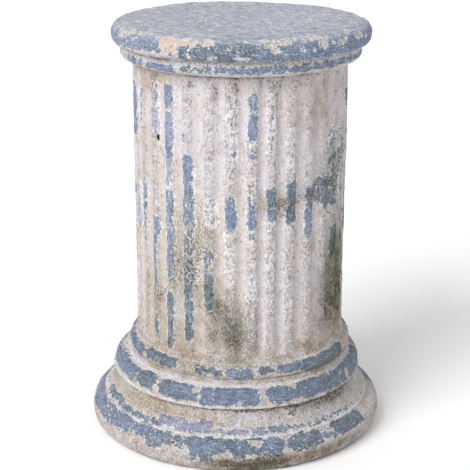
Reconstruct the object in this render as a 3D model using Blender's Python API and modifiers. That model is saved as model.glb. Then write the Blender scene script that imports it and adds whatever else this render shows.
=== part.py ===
"""A short fluted garden column of painted terracotta, standing on its own foot.

Metres, +Z up. The origin is the centre of the foot's underside, and the front is towards -Y.
The whole column is one piece. Its foot sits a little off the axis of the shaft above it.
"""

import math

import bpy

# The shaft and its flutes
SHAFT_RADIUS = 0.1450
SHAFT_HEIGHT = 0.3878
SHAFT_OFFSET_X = 0.0060
SHAFT_FLARE_REACH = 0.0025
SHAFT_FLARE_HEIGHT = 0.0150
FLUTE_COUNT = 32
FLUTE_WIDTH = 0.0155
FLUTE_DEPTH = 0.0045
FLUTE_TOP_GAP = 0.0040
FLUTE_FOOT_GAP = 0.0100
FIRST_RIB_ANGLE = math.radians(-5.3)

# The foot, from the ground up. A reach is how far a moulding stands out from the shaft.
FOOT_TORUS_REACH = 0.0605
FOOT_TORUS_HEIGHT = 0.0428
FOOT_TORUS_RADIUS = 0.0231
FOOT_FILLET_REACH = 0.0431
FOOT_FILLET_HEIGHT = 0.0022
SCOTIA_LOW_REACH = 0.0395
SCOTIA_HIGH_REACH = 0.0258
SCOTIA_HEIGHT = 0.0338
SCOTIA_HOLLOW = 0.0035
BED_FILLET_REACH = 0.0300
BED_FILLET_HEIGHT = 0.0029
UPPER_TORUS_REACH = 0.0288
UPPER_TORUS_HEIGHT = 0.0219
UPPER_TORUS_RADIUS = 0.0168

# The collar that the shaft rises from
COLLAR_FILLET_REACH = 0.0092
COLLAR_FILLET_HEIGHT = 0.0088
COLLAR_REACH = 0.0111
COLLAR_HEIGHT = 0.0185
COLLAR_RADIUS = 0.0103

# The neck ring, round below and upright above, and the cap with its rounded edge
NECK_RING_REACH = 0.0166
NECK_RING_HEIGHT = 0.0198
NECK_RING_ROUND_HEIGHT = 0.0103
CAP_REACH = 0.0293
CAP_HEIGHT = 0.0315
CAP_EDGE_RADIUS = 0.0160

# How far the shaft runs down into the foot
JOINT_DEPTH = 0.0060

# Fineness of the faceted solid
TURN_STEPS = 64
CUTTER_STEPS = 16
HOLLOW_STEPS = 4
ARC_STEP = math.radians(26.0)
MERGE_DISTANCE = 0.00001
ARRIS_ANGLE = math.radians(35.0)

# The finish, as seen from a few steps away
LIMEWASH_COLOUR = (0.60, 0.55, 0.51, 1.0)
LIMEWASH_ROUGHNESS = 0.85

# Heights above the ground, where each moulding ends
FOOT_TORUS_TOP = FOOT_TORUS_HEIGHT
FOOT_FILLET_TOP = FOOT_TORUS_TOP + FOOT_FILLET_HEIGHT
SCOTIA_TOP = FOOT_FILLET_TOP + SCOTIA_HEIGHT
BED_FILLET_TOP = SCOTIA_TOP + BED_FILLET_HEIGHT
FOOT_TOP = BED_FILLET_TOP + UPPER_TORUS_HEIGHT
COLLAR_FILLET_TOP = FOOT_TOP + COLLAR_FILLET_HEIGHT
COLLAR_TOP = COLLAR_FILLET_TOP + COLLAR_HEIGHT
SHAFT_TOP = COLLAR_TOP + SHAFT_HEIGHT
NECK_RING_TOP = SHAFT_TOP + NECK_RING_HEIGHT
CAP_TOP = NECK_RING_TOP + CAP_HEIGHT


def clear_scene():
    for obj in list(bpy.data.objects):
        bpy.data.objects.remove(obj)


def new_collection(name):
    collection = bpy.data.collections.new(name)
    bpy.context.scene.collection.children.link(collection)
    return collection


def terracotta_material():
    material = bpy.data.materials.new("painted_terracotta")
    material.use_nodes = True
    shader = material.node_tree.nodes["Principled BSDF"]
    shader.inputs["Base Color"].default_value = LIMEWASH_COLOUR
    shader.inputs["Roughness"].default_value = LIMEWASH_ROUGHNESS
    shader.inputs["Metallic"].default_value = 0.0
    return material


def arc(centre_r, centre_z, radius_r, radius_z, start, end):
    """Points of an elliptic arc. Angle 0 points outward and a quarter turn points up."""
    count = max(2, round(abs(end - start) / ARC_STEP))
    points = []
    for i in range(count + 1):
        angle = start + (end - start) * i / count
        r = centre_r + radius_r * math.cos(angle)
        z = centre_z + radius_z * math.sin(angle)
        points.append((r, z))
    return points


def round_moulding(reach, radius, low, high, meets=0.0):
    """Points of a round moulding between two heights, from its top to its underside.

    It starts at the top of its curve, or where it meets an upright face that stands out
    by the reach in meets.
    """
    radius = max(radius, (high - low) / 2)
    centre_r = SHAFT_RADIUS + reach - radius
    centre_z = high - radius
    covered = min(max(SHAFT_RADIUS + meets - centre_r, 0.0), radius)
    start = math.acos(covered / radius)
    end = -math.asin((centre_z - low) / radius)
    return arc(centre_r, centre_z, radius, radius, start, end)


def hollow(high, low, depth):
    """Points of a shallow concave curve from high to low, bent towards the axis by depth."""
    points = []
    for i in range(HOLLOW_STEPS + 1):
        share = i / HOLLOW_STEPS
        inward = depth * 4 * share * (1 - share)
        r = high[0] + (low[0] - high[0]) * share - inward
        z = high[1] + (low[1] - high[1]) * share
        points.append((r, z))
    return points


def upright(reach, low, high):
    """The two ends of an upright face that stands out from the shaft by reach."""
    r = SHAFT_RADIUS + reach
    return [(r, high), (r, low)]


def foot_profile():
    """The foot's outline, from the axis at its top round to the axis on the ground."""
    profile = [(0.0, FOOT_TOP)]
    profile += round_moulding(UPPER_TORUS_REACH, UPPER_TORUS_RADIUS, BED_FILLET_TOP, FOOT_TOP)
    profile += upright(BED_FILLET_REACH, SCOTIA_TOP, BED_FILLET_TOP)
    scotia_high = (SHAFT_RADIUS + SCOTIA_HIGH_REACH, SCOTIA_TOP)
    scotia_low = (SHAFT_RADIUS + SCOTIA_LOW_REACH, FOOT_FILLET_TOP)
    profile += hollow(scotia_high, scotia_low, SCOTIA_HOLLOW)
    profile += [(SHAFT_RADIUS + FOOT_FILLET_REACH, FOOT_FILLET_TOP)]
    profile += round_moulding(FOOT_TORUS_REACH, FOOT_TORUS_RADIUS, 0.0, FOOT_TORUS_TOP, FOOT_FILLET_REACH)
    profile += [(0.0, 0.0)]
    return profile


def shaft_profile():
    """The outline of cap, neck ring, plain shaft and collar, down into the foot."""
    profile = [(0.0, CAP_TOP)]
    profile += round_moulding(CAP_REACH, CAP_EDGE_RADIUS, NECK_RING_TOP, CAP_TOP)
    profile += [(SHAFT_RADIUS + NECK_RING_REACH, NECK_RING_TOP)]
    rounding = min(NECK_RING_ROUND_HEIGHT, NECK_RING_HEIGHT)
    quarter = math.pi / 2
    profile += arc(SHAFT_RADIUS, SHAFT_TOP + rounding, NECK_RING_REACH, rounding, 0.0, -quarter)
    flare_r = SHAFT_RADIUS + SHAFT_FLARE_REACH
    flare_z = COLLAR_TOP + SHAFT_FLARE_HEIGHT
    profile += arc(flare_r, flare_z, SHAFT_FLARE_REACH, SHAFT_FLARE_HEIGHT, 2 * quarter, 3 * quarter)
    profile += round_moulding(COLLAR_REACH, COLLAR_RADIUS, COLLAR_FILLET_TOP, COLLAR_TOP, SHAFT_FLARE_REACH)
    profile += upright(COLLAR_FILLET_REACH, FOOT_TOP - JOINT_DEPTH, COLLAR_FILLET_TOP)
    profile += [(0.0, FOOT_TOP - JOINT_DEPTH)]
    return profile


def turned(name, profile, collection, steps):
    """A closed solid turned about Z from a profile of (radius, height), listed from the top down."""
    mesh = bpy.data.meshes.new(name)
    vertices = [(r, 0.0, z) for r, z in profile]
    edges = [(i, i + 1) for i in range(len(profile) - 1)]
    mesh.from_pydata(vertices, edges, [])
    obj = bpy.data.objects.new(name, mesh)
    collection.objects.link(obj)
    screw = obj.modifiers.new("turn", "SCREW")
    screw.axis = "Z"
    screw.angle = math.tau
    screw.steps = steps
    screw.render_steps = steps
    screw.use_merge_vertices = True
    screw.merge_threshold = MERGE_DISTANCE
    return obj


def mark_as_guide(obj):
    obj.hide_render = True
    obj.display_type = "WIRE"


def flute_cutter_place():
    """Radius of the round cutter, and its axis' distance from the shaft's axis."""
    floor = SHAFT_RADIUS - FLUTE_DEPTH
    edge = math.sqrt(SHAFT_RADIUS**2 - (FLUTE_WIDTH / 2) ** 2)
    axis = (SHAFT_RADIUS**2 - floor**2) / (2 * (edge - floor))
    return axis - floor, axis


def add_flute_cutters(collection):
    """One round-ended rod for each flute, midway between two ribs."""
    radius, axis = flute_cutter_place()
    end_reach = math.sqrt(radius**2 - (axis - SHAFT_RADIUS) ** 2)
    high = SHAFT_TOP - FLUTE_TOP_GAP - end_reach
    low = COLLAR_TOP + FLUTE_FOOT_GAP + end_reach
    quarter = math.pi / 2
    profile = arc(0.0, high, radius, radius, quarter, 0.0) + arc(0.0, low, radius, radius, 0.0, -quarter)
    first = turned("flute_cutter_01", profile, collection, CUTTER_STEPS)
    for i in range(FLUTE_COUNT):
        cutter = first
        if i > 0:
            cutter = first.copy()
            cutter.name = f"flute_cutter_{i + 1:02d}"
            collection.objects.link(cutter)
        angle = FIRST_RIB_ANGLE - quarter + math.tau * (i + 0.5) / FLUTE_COUNT
        cutter.location.x = SHAFT_OFFSET_X + axis * math.cos(angle)
        cutter.location.y = axis * math.sin(angle)
        cutter.rotation_euler.z = angle
        mark_as_guide(cutter)


def fluted_shaft(guides, cutters):
    """Cap, shaft and collar in one, with the flutes cut into the shaft."""
    shaft = turned("shaft_form", shaft_profile(), guides, TURN_STEPS)
    shaft.location.x = SHAFT_OFFSET_X
    add_flute_cutters(cutters)
    flutes = shaft.modifiers.new("flutes", "BOOLEAN")
    flutes.operation = "DIFFERENCE"
    flutes.operand_type = "COLLECTION"
    flutes.collection = cutters
    mark_as_guide(shaft)
    return shaft


def smooth_between_arrises(obj):
    """Gives the object the mesh that its modifiers make, shaded smooth up to each arris."""
    graph = bpy.context.evaluated_depsgraph_get()
    mesh = bpy.data.meshes.new_from_object(obj.evaluated_get(graph))
    obj.modifiers.clear()
    obj.data = mesh
    mesh.shade_smooth()
    mesh.set_sharp_from_angle(angle=ARRIS_ANGLE)


def build_column():
    column_parts = new_collection("column_parts")
    guides = new_collection("column_guides")
    cutters = new_collection("flute_cutters")
    shaft = fluted_shaft(guides, cutters)

    column = turned("column", foot_profile(), column_parts, TURN_STEPS)
    join = column.modifiers.new("join_shaft", "BOOLEAN")
    join.operation = "UNION"
    join.object = shaft
    smooth_between_arrises(column)
    column.data.materials.clear()
    column.data.materials.append(terracotta_material())


def main():
    clear_scene()
    build_column()


main()
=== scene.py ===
"""Dresses the short fluted garden column: its worn clay body, its limewash and blue paint, and the studio.

The column's sizes are in millimetres, and become metres where its mesh and its finish are made. Places
round it are counted in ribs from the one nearest the front, positive to the right, also on the mouldings.
"""

import logging
import math
import random
from dataclasses import dataclass, field
from enum import Enum
from functools import reduce

import bpy
import numpy as np
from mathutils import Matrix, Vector


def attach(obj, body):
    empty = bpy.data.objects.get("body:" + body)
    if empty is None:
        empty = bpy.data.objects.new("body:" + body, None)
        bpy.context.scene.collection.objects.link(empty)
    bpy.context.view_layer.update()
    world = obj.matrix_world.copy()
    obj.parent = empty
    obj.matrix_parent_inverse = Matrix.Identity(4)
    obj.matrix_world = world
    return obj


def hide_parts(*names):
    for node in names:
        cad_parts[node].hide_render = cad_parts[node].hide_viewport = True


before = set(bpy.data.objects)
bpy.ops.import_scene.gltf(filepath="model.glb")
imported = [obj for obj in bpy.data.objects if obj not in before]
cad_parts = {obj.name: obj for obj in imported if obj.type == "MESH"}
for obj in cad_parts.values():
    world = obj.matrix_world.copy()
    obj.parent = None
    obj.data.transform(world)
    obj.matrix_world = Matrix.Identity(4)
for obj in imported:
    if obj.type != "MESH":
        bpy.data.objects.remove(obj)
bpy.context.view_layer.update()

LOG = logging.getLogger("garden_column")

NODE = "column"
SLOT = "painted_terracotta"
BODY = "root"
MM = 0.001

RIBS = 32
RIB_STEP_DEGREES = 360.0 / RIBS
FIRST_RIB_DEGREES = -5.3

Hue = tuple[int, int, int]
Pair = tuple[float, float]
Field = np.ndarray


class Zone(Enum):
    """The stretches of the column's outline, from the top down."""

    TOP = "top"
    CAP = "cap"
    NECK = "neck"
    SHAFT = "shaft"
    COLLAR = "collar"
    FILLET = "fillet"
    UPPER_TORUS = "upper_torus"
    BED = "bed"
    SCOTIA = "scotia"
    RIDGE = "ridge"
    FOOT_TORUS = "foot_torus"
    UNDERSIDE = "underside"


class Tone(Enum):
    """How the blue paint has aged, from bleached lavender to stained teal."""

    LAVENDER = -1.0
    PERIWINKLE = -0.5
    SLATE = 0.0
    STEEL = 0.5
    TEAL = 1.0


class Dirt(Enum):
    """What has settled on, or soaked into, the limewash, and where painted shade lies along the arrises."""

    GRIME = "grime"
    MOSS = "moss"
    TAN = "tan"
    RUST = "rust"
    CRAZE = "craze"
    # Marks where the right-hand arrises carry painted shade, and where the crust on the ribs is flakier.
    EDGE = "edge"
    SAND = "sand"


class Loss(Enum):
    """What shows where the paint has come off."""

    LIME = "lime"
    CLAY = "clay"


def smooth_step(low: float, high: float, values: Field) -> Field:
    """An even rise from 0 at low to 1 at high.

    Args:
        low: Where the rise starts.
        high: Where the rise ends. It may be below low for a fall.
        values: The values to judge.

    Returns:
        Shares from 0 to 1.
    """
    share = np.clip((values - low) / (high - low), 0.0, 1.0)
    return share * share * (3.0 - 2.0 * share)


def round_difference(places: Field, middle: float) -> Field:
    """How far places lie from a middle, in ribs, the short way round.

    Args:
        places: Places round the column, in ribs.
        middle: The place they are measured from.

    Returns:
        Signed distances of at most half the ribs.
    """
    return (places - middle + RIBS / 2) % RIBS - RIBS / 2


def ribs_at(degrees: float) -> float:
    """The place in ribs of an angle from the front."""
    return (degrees - FIRST_RIB_DEGREES) / RIB_STEP_DEGREES


@dataclass(frozen=True)
class Grain:
    """Smooth random lumps in space, the same on every run.

    Attributes:
        size: Distance from lump to lump.
        seed: Which of the random fields it is.
    """

    size: float
    seed: int

    def at(self, points: Field) -> Field:
        """The grain's height at points.

        Args:
            points: Places, with x, y and z along the last axis.

        Returns:
            Heights from -1 to 1, with the points' shape less its last axis.
        """
        source = np.random.default_rng(self.seed)
        order = source.permutation(256)
        heights = source.uniform(-1.0, 1.0, 256)
        scaled = points / self.size
        cell = np.floor(scaled).astype(int)
        share = scaled - cell
        share = share * share * (3.0 - 2.0 * share)
        total = np.zeros(points.shape[:-1])
        for corner in range(8):
            step = np.array([corner & 1, corner >> 1 & 1, corner >> 2 & 1])
            place = (cell + step) & 255
            key = order[place[..., 0]]
            key = order[(key + place[..., 1]) & 255]
            key = order[(key + place[..., 2]) & 255]
            weight = np.where(step == 1, share, 1.0 - share).prod(axis=-1)
            total += weight * heights[key]
        return total


@dataclass(frozen=True)
class Band:
    """Rings of the outline that belong to one zone, from the top down.

    Attributes:
        zone: The zone they belong to.
        rings: Radius and height of each ring.
        shift: How far the zone sits to the right of the foot's axis.
        crease_shade_and_dirt: How dark its creases are painted, as painted shade with some dirt, one share
            for each ring.
    """

    zone: Zone
    rings: Field
    shift: float
    crease_shade_and_dirt: Field


def arc_rings(centre: Pair, radii: Pair, start: float, end: float, count: int) -> Field:
    """Rings along an elliptic arc of the outline.

    Args:
        centre: Radius and height of the arc's centre.
        radii: Its half width outwards and upwards.
        start: First angle in degrees, 0 outwards and 90 up.
        end: Last angle in degrees.
        count: How many rings.

    Returns:
        Radius and height of each ring.
    """
    angles = np.radians(np.linspace(start, end, count))
    return np.stack([centre[0] + radii[0] * np.cos(angles), centre[1] + radii[1] * np.sin(angles)], axis=1)


def line_rings(first: Pair, last: Pair, count: int) -> Field:
    """Rings along a straight stretch of the outline.

    Args:
        first: Radius and height of the first ring.
        last: Radius and height of the last ring.
        count: How many rings.

    Returns:
        Radius and height of each ring.
    """
    return np.linspace(first, last, count)


@dataclass
class Cap:
    """The flat round cap with its rounded edge.

    Attributes:
        reach: Radius of the edge at its widest.
        edge_radius: Radius of the rounding.
        top: Height of the top face.
        bottom: Height where the cap sits on the neck ring.
        shift: How far the cap sits to the right of the foot's axis.
        top_ring_radii: Radii of the mesh's rings on the top face.
        edge_rings: How many rings the rounding has.
    """

    reach: float = 174.3
    edge_radius: float = 16.0
    top: float = 570.0
    bottom: float = 541.0
    shift: float = 7.2
    top_ring_radii: tuple[float, ...] = (12.0, 40.0, 75.0, 105.0, 130.0, 147.0)
    edge_rings: int = 17

    def bands(self) -> list[Band]:
        """The rings of the top face and of the edge.

        Returns:
            The bands, from the middle of the top outwards and down.
        """
        flat = np.array([(radius, self.top) for radius in self.top_ring_radii])
        centre = (self.reach - self.edge_radius, self.top - self.edge_radius)
        low_angle = -math.degrees(math.asin((centre[1] - self.bottom) / self.edge_radius))
        edge = arc_rings(centre, (self.edge_radius,) * 2, 90.0, low_angle, self.edge_rings)
        # Painted shade, with some dirt, in the crease under the cap's edge.
        crease_shade_and_dirt = 0.7 * smooth_step(self.bottom + 1.6, self.bottom, edge[:, 1])
        return [
            Band(Zone.TOP, flat, self.shift, np.zeros(len(flat))),
            Band(Zone.CAP, edge, self.shift, crease_shade_and_dirt),
        ]


@dataclass
class NeckRing:
    """The ring below the cap, upright above and rounded back to the shaft below.

    Attributes:
        reach: Radius of the upright face.
        top: Height where the cap sits on it.
        round_top: Height where the rounding starts.
        bottom: Height where it meets the shaft.
        shaft_radius: Radius that it rounds back to.
        shift: How far it sits to the right of the foot's axis.
        joint_depth: How far the crease under the cap is set back.
        upright_rings: How many rings the upright face has.
        round_rings: How many rings the rounding has.
    """

    reach: float = 161.8
    top: float = 541.0
    round_top: float = 529.0
    bottom: float = 518.7
    shaft_radius: float = 145.0
    shift: float = 6.6
    joint_depth: float = 0.5
    upright_rings: int = 3
    round_rings: int = 8

    def bands(self) -> list[Band]:
        """The rings of the crease, the upright face and the rounding.

        Returns:
            One band, from the top down.
        """
        crease = np.array([(self.reach - self.joint_depth, self.top - 0.6)])
        upright = line_rings((self.reach, self.top - 2.0), (self.reach, self.round_top), self.upright_rings)
        radii = (self.reach - self.shaft_radius, self.round_top - self.bottom)
        rounding = arc_rings((self.shaft_radius, self.round_top), radii, -10.0, -84.0, self.round_rings)
        rings = np.concatenate([crease, upright, rounding])
        # Painted shade, with some dirt, in the crease under the cap and where the ring rounds into the shaft.
        joint = 0.8 * smooth_step(self.top - 1.8, self.top - 0.6, rings[:, 1])
        crease_shade_and_dirt = np.maximum(joint, smooth_step(self.bottom + 3.2, self.bottom + 0.6, rings[:, 1]))
        return [Band(Zone.NECK, rings, self.shift, crease_shade_and_dirt)]


@dataclass
class FlutedShaft:
    """The shaft with its hand-cut ribs and flutes.

    Attributes:
        radius: Radius over the ribs.
        top: Height where the neck ring starts.
        bottom: Height where the collar starts.
        flare_reach: How much wider the shaft is at its foot.
        flare_height: Height over which it widens.
        flute_width: Width of a flute from arris to arris.
        flute_depth: Depth of a flute.
        arris_width: How far the softened arris reaches over the rib.
        flute_power: How sharply a flute rounds off towards its arrises.
        filled: How much of their depth the flutes keep under the limewash, as (rib, share).
        wander: How far each rib near the front stands to the right of its even place.
        hidden_wander: The most that a rib of the hidden sides wanders.
        shift: How far the shaft sits to the right of the foot's axis.
        ring_count: How many rings the mesh has on the shaft.
        end_crowding: How much closer together they are near the two ends.
    """

    radius: float = 145.0
    top: float = 518.7
    bottom: float = 130.9
    flare_reach: float = 2.5
    flare_height: float = 15.0
    flute_width: float = 15.5
    flute_depth: float = 4.6
    arris_width: float = 1.6
    flute_power: float = 1.7
    filled: tuple[Pair, ...] = ((-16, 0.8), (-9, 0.6), (-2, 0.6), (1, 0.9), (9, 0.85), (16, 0.8))
    wander: dict[int, float] = field(
        default_factory=lambda: {
            -5: -1.3, -4: -3.0, -3: -1.8, -2: -1.5, -1: 0.5, 0: 0.0,
            1: 1.0, 2: -2.5, 3: -3.8, 4: -2.5, 5: -2.5,
        }
    )
    hidden_wander: float = 2.2
    shift: float = 6.0
    ring_count: int = 124
    end_crowding: float = 0.06

    @property
    def pitch(self) -> float:
        """Distance from rib to rib."""
        return math.tau * self.radius / RIBS

    def bands(self) -> list[Band]:
        """The rings of the shaft, closer together at its two ends.

        Returns:
            One band, from the top down.
        """
        share = np.linspace(0.0, 1.0, self.ring_count)
        eased = share - self.end_crowding * np.sin(math.tau * share) / math.tau
        heights = self.top - 1.2 - (self.top - self.bottom - 1.2) * eased
        climb = np.clip((heights - self.bottom) / self.flare_height, 0.0, 1.0)
        radii = self.radius + self.flare_reach * (1.0 - np.sqrt(1.0 - (1.0 - climb) ** 2))
        # Painted shade, with some dirt, in the creases under the neck ring and above the collar.
        high_crease = 0.8 * smooth_step(516.0, 517.6, heights)
        low_crease = 0.35 * smooth_step(135.0, 131.0, heights)
        crease_shade_and_dirt = np.maximum(high_crease, low_crease)
        return [Band(Zone.SHAFT, np.stack([radii, heights], axis=1), self.shift, crease_shade_and_dirt)]

    def rib_shift(self, places: Field) -> Field:
        """How far the surface has wandered to the right.

        Args:
            places: Even places round the column, in ribs.

        Returns:
            The wander there, in ribs.
        """
        source = random.Random(11)
        steps = np.arange(-RIBS // 2, RIBS // 2 + 1)
        drift = [self.wander.get(int(rib), source.uniform(-1.0, 1.0) * self.hidden_wander) for rib in steps]
        drift[-1] = drift[0]
        return np.interp(places, steps, drift) / self.pitch

    def flute_fade(self, heights: Field) -> Field:
        """How fully the flutes are cut: they run out near both ends.

        Args:
            heights: The heights to judge.

        Returns:
            Shares from 0 to 1.
        """
        below_top = smooth_step(self.top - 1.0, self.top - 12.0, heights)
        above_bottom = smooth_step(self.bottom + 3.0, self.bottom + 15.0, heights)
        return below_top * above_bottom

    def flute_cut(self, places: Field) -> Field:
        """Depth of the round flutes, with their arrises softened by limewash and wear.

        Args:
            places: Even places round the column, in ribs.

        Returns:
            Depth below the ribs, 0 beyond the arrises.
        """
        from_middle = np.abs(places % 1.0 - 0.5) * self.pitch
        share = np.clip(from_middle / (self.flute_width / 2 + self.arris_width), 0.0, 1.0)
        ribs, kept = zip(*self.filled)
        depth = self.flute_depth * np.interp(places, ribs, kept)
        return depth * np.cos(share * math.pi / 2) ** self.flute_power


@dataclass
class Collar:
    """The round collar that the shaft rises from, and the upright fillet below it.

    Attributes:
        centre_radius: Radius of the middle of the rounding.
        centre_height: Its height.
        radius: Radius of the rounding.
        fillet_radius: Radius of the upright fillet.
        fillet_top: Height where the fillet meets the rounding.
        fillet_bottom: Height where it meets the upper torus.
        shift: How far the collar sits to the right of the foot's axis.
        round_rings: How many rings the rounding has.
        fillet_rings: How many rings the fillet has.
    """

    centre_radius: float = 145.8
    centre_height: float = 120.6
    radius: float = 10.3
    fillet_radius: float = 154.2
    fillet_top: float = 112.4
    fillet_bottom: float = 103.6
    shift: float = 6.0
    round_rings: int = 10
    fillet_rings: int = 3

    def bands(self) -> list[Band]:
        """The rings of the round collar and of its fillet.

        Returns:
            The two bands, from the top down.
        """
        low_angle = -math.degrees(math.asin((self.centre_height - self.fillet_top) / self.radius))
        radii = (self.radius,) * 2
        rings = arc_rings((self.centre_radius, self.centre_height), radii, 74.0, low_angle, self.round_rings)
        first = (self.fillet_radius, self.fillet_top - 0.4)
        last = (self.fillet_radius, self.fillet_bottom + 0.6)
        fillet = line_rings(first, last, self.fillet_rings)
        # Painted shade, with some dirt, where the collar meets its fillet.
        return [
            Band(Zone.COLLAR, rings, self.shift, 0.25 * smooth_step(114.0, 112.4, rings[:, 1])),
            Band(Zone.FILLET, fillet, self.shift - 0.5, np.array([0.2, 0.0, 0.0])),
        ]


@dataclass
class Foot:
    """The moulded foot: upper torus, bed fillet, scotia, ridge and the big foot torus.

    Attributes:
        upper_centre: Radius and height of the middle of the upper torus.
        upper_radius: Radius of its rounding.
        bed_radius: Radius of the thin fillet under it.
        bed_top: Height of that fillet's top.
        bed_bottom: Height of its bottom.
        scotia_high_radius: Radius of the scotia at its top.
        scotia_low_radius: Its radius at the bottom.
        scotia_hollow: How far it is hollowed in between.
        ridge_radius: Radius of the thin ridge on the foot torus.
        ridge_top: Height of that ridge.
        torus_centre: Radius and height of the middle of the foot torus.
        torus_radius: Radius of its rounding.
        upper_shift: How far the upper torus sits to the right of the foot's axis.
        upper_rings: How many rings the upper torus has.
        scotia_rings: How many rings the scotia has.
        torus_rings: How many rings the foot torus has.
        underside_radii: Radii of the mesh's rings on the underside.
    """

    upper_centre: Pair = (157.0, 86.8)
    upper_radius: float = 16.8
    bed_radius: float = 175.0
    bed_top: float = 81.7
    bed_bottom: float = 78.8
    scotia_high_radius: float = 170.8
    scotia_low_radius: float = 184.5
    scotia_hollow: float = 3.5
    ridge_radius: float = 188.1
    ridge_top: float = 45.0
    torus_centre: Pair = (182.4, 19.7)
    torus_radius: float = 23.1
    upper_shift: float = 2.0
    upper_rings: int = 14
    scotia_rings: int = 10
    torus_rings: int = 18
    underside_radii: Pair = (160.0, 80.0)

    def bands(self) -> list[Band]:
        """The bands of the whole foot, down to the middle of its underside."""
        above = [self.upper_torus(), self.bed_fillet(), self.scotia()]
        return [*above, self.ridge(), self.foot_torus(), self.underside()]

    def upper_torus(self) -> Band:
        """The rings of the upper torus, from its flat top round to the bed fillet.

        Returns:
            The band, from the top down.
        """
        low_angle = -math.degrees(math.asin((self.upper_centre[1] - self.bed_top) / self.upper_radius))
        radii = (self.upper_radius,) * 2
        rings = arc_rings(self.upper_centre, radii, 93.0, low_angle, self.upper_rings)
        # Painted shade, with some dirt, at the torus's top under the fillet.
        return Band(Zone.UPPER_TORUS, rings, self.upper_shift, smooth_step(103.3, 103.7, rings[:, 1]) * 0.3)

    def bed_fillet(self) -> Band:
        """The rings of the thin fillet under the upper torus.

        Returns:
            The band, from the top down.
        """
        middle = (self.bed_radius + 0.3, (self.bed_top + self.bed_bottom) / 2)
        bottom = (self.bed_radius - 0.4, self.bed_bottom + 0.1)
        rings = np.array([(self.bed_radius, self.bed_top - 0.3), middle, bottom])
        # Painted shade, with some dirt, at the bottom edge of the bed fillet.
        return Band(Zone.BED, rings, self.upper_shift / 2, np.array([0.0, 0.2, 0.8]))

    def scotia(self) -> Band:
        """The rings of the shallow hollow between the two tori.

        Returns:
            The band, from the top down.
        """
        share = np.linspace(0.0, 1.0, self.scotia_rings)
        inward = self.scotia_hollow * 4 * share * (1 - share)
        radii = self.scotia_high_radius + (self.scotia_low_radius - self.scotia_high_radius) * share - inward
        heights = self.bed_bottom - 0.4 + (self.ridge_top + 0.2 - self.bed_bottom) * share
        # Painted shade, with some dirt, in the scotia under the bed fillet and just above the ridge.
        crease_shade_and_dirt = np.maximum(0.9 * smooth_step(71.5, 77.5, heights), 0.5 * smooth_step(48.0, 45.5, heights))
        return Band(Zone.SCOTIA, np.stack([radii, heights], axis=1), 0.0, crease_shade_and_dirt)

    def ridge(self) -> Band:
        """The rings of the thin upright ridge on the foot torus.

        Returns:
            The band, from the top down.
        """
        top = self.ridge_top - 0.2
        face = [(self.ridge_radius, top - 0.8), (self.ridge_radius, top - 2.2)]
        rings = np.array([(self.ridge_radius - 1.2, top), *face])
        return Band(Zone.RIDGE, rings, 0.0, np.zeros(len(rings)))

    def foot_torus(self) -> Band:
        """The rings of the big foot torus, down to the ground.

        Returns:
            The band, from the top down.
        """
        start = math.degrees(math.acos((self.ridge_radius + 0.2 - self.torus_centre[0]) / self.torus_radius))
        end = -math.degrees(math.asin(self.torus_centre[1] / self.torus_radius))
        rings = arc_rings(self.torus_centre, (self.torus_radius,) * 2, start, end, self.torus_rings)
        # Painted shade, with some dirt, darkest where the torus meets the ground.
        return Band(Zone.FOOT_TORUS, rings, 0.0, smooth_step(6.0, 0.0, rings[:, 1]))

    def underside(self) -> Band:
        """The rings of the flat underside."""
        rings = np.array([(radius, 0.0) for radius in self.underside_radii])
        # Painted shade, with some dirt, on the underside.
        return Band(Zone.UNDERSIDE, rings, 0.0, np.full(len(rings), 0.5))


@dataclass(frozen=True)
class Patch:
    """A mark that fills a box on the unrolled surface.

    Attributes:
        zone: The zone it lies in.
        start: Its left edge, in ribs.
        end: Its right edge, in ribs.
        high: Its top height.
        low: Its bottom height.
    """

    zone: Zone
    start: float
    end: float
    high: float
    low: float


@dataclass(frozen=True)
class Paint(Patch):
    """A patch of blue paint that is left.

    Attributes:
        tone: How it has aged.
        wear: How speckled it is, from 0 for whole to 1 for a few flecks.
    """

    tone: Tone
    wear: float


@dataclass(frozen=True)
class Chip(Patch):
    """A place where the paint, and some of the clay, has come off.

    Attributes:
        shows: What shows there.
        depth: How deep it is.
    """

    shows: Loss
    depth: float


@dataclass(frozen=True)
class Stain:
    """A soft-edged oval of dirt. Some of them carry painted shade as well, along the arrises and in the
    creases.

    Attributes:
        kind: What it is.
        middle: Its middle, in ribs.
        height: Height of its middle.
        half_width: Half its width, in ribs.
        half_height: Half its height.
        strength: How strong it is in the middle, from 0 to 1.
    """

    kind: Dirt
    middle: float
    height: float
    half_width: float
    half_height: float
    strength: float


@dataclass(frozen=True)
class Crack:
    """A crack through the face, as points of (rib, height) that it runs through.

    Attributes:
        points: The points, from one end to the other.
        depth: How deep its groove is.
    """

    points: tuple[Pair, ...]
    depth: float = 0.9


@dataclass(frozen=True)
class Pinhole:
    """A small deep hole left by a grit or an air bubble.

    Attributes:
        middle: Its place, in ribs.
        height: Its height.
        half_width: Half its width.
        half_height: Half its height.
        depth: How deep it is.
    """

    middle: float
    height: float
    half_width: float
    half_height: float
    depth: float


def rib_box(rib: float, width: float) -> Pair:
    """The left and right edges, in ribs, of a mark on the crest of one rib."""
    return rib - width / 2, rib + width / 2


def ring_box(left: float, right: float) -> Pair:
    """The left and right edges, in ribs, of a mark between two angles on one of the plain mouldings."""
    return ribs_at(left), ribs_at(right)


def ring_stain(kind: Dirt, left: float, right: float, high: float, low: float, strength: float) -> Stain:
    """A stain on the plain mouldings, as the oval that fills a box.

    Args:
        kind: What it is.
        left: The box's left edge, in degrees from the front.
        right: Its right edge, in degrees from the front.
        high: Its top height.
        low: Its bottom height.
        strength: How strong it is in the middle.

    Returns:
        The stain.
    """
    middle = sum(ring_box(left, right)) / 2
    half_width = (right - left) / 2 / RIB_STEP_DEGREES
    return Stain(kind, middle, (high + low) / 2, half_width, (high - low) / 2, strength)


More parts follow.
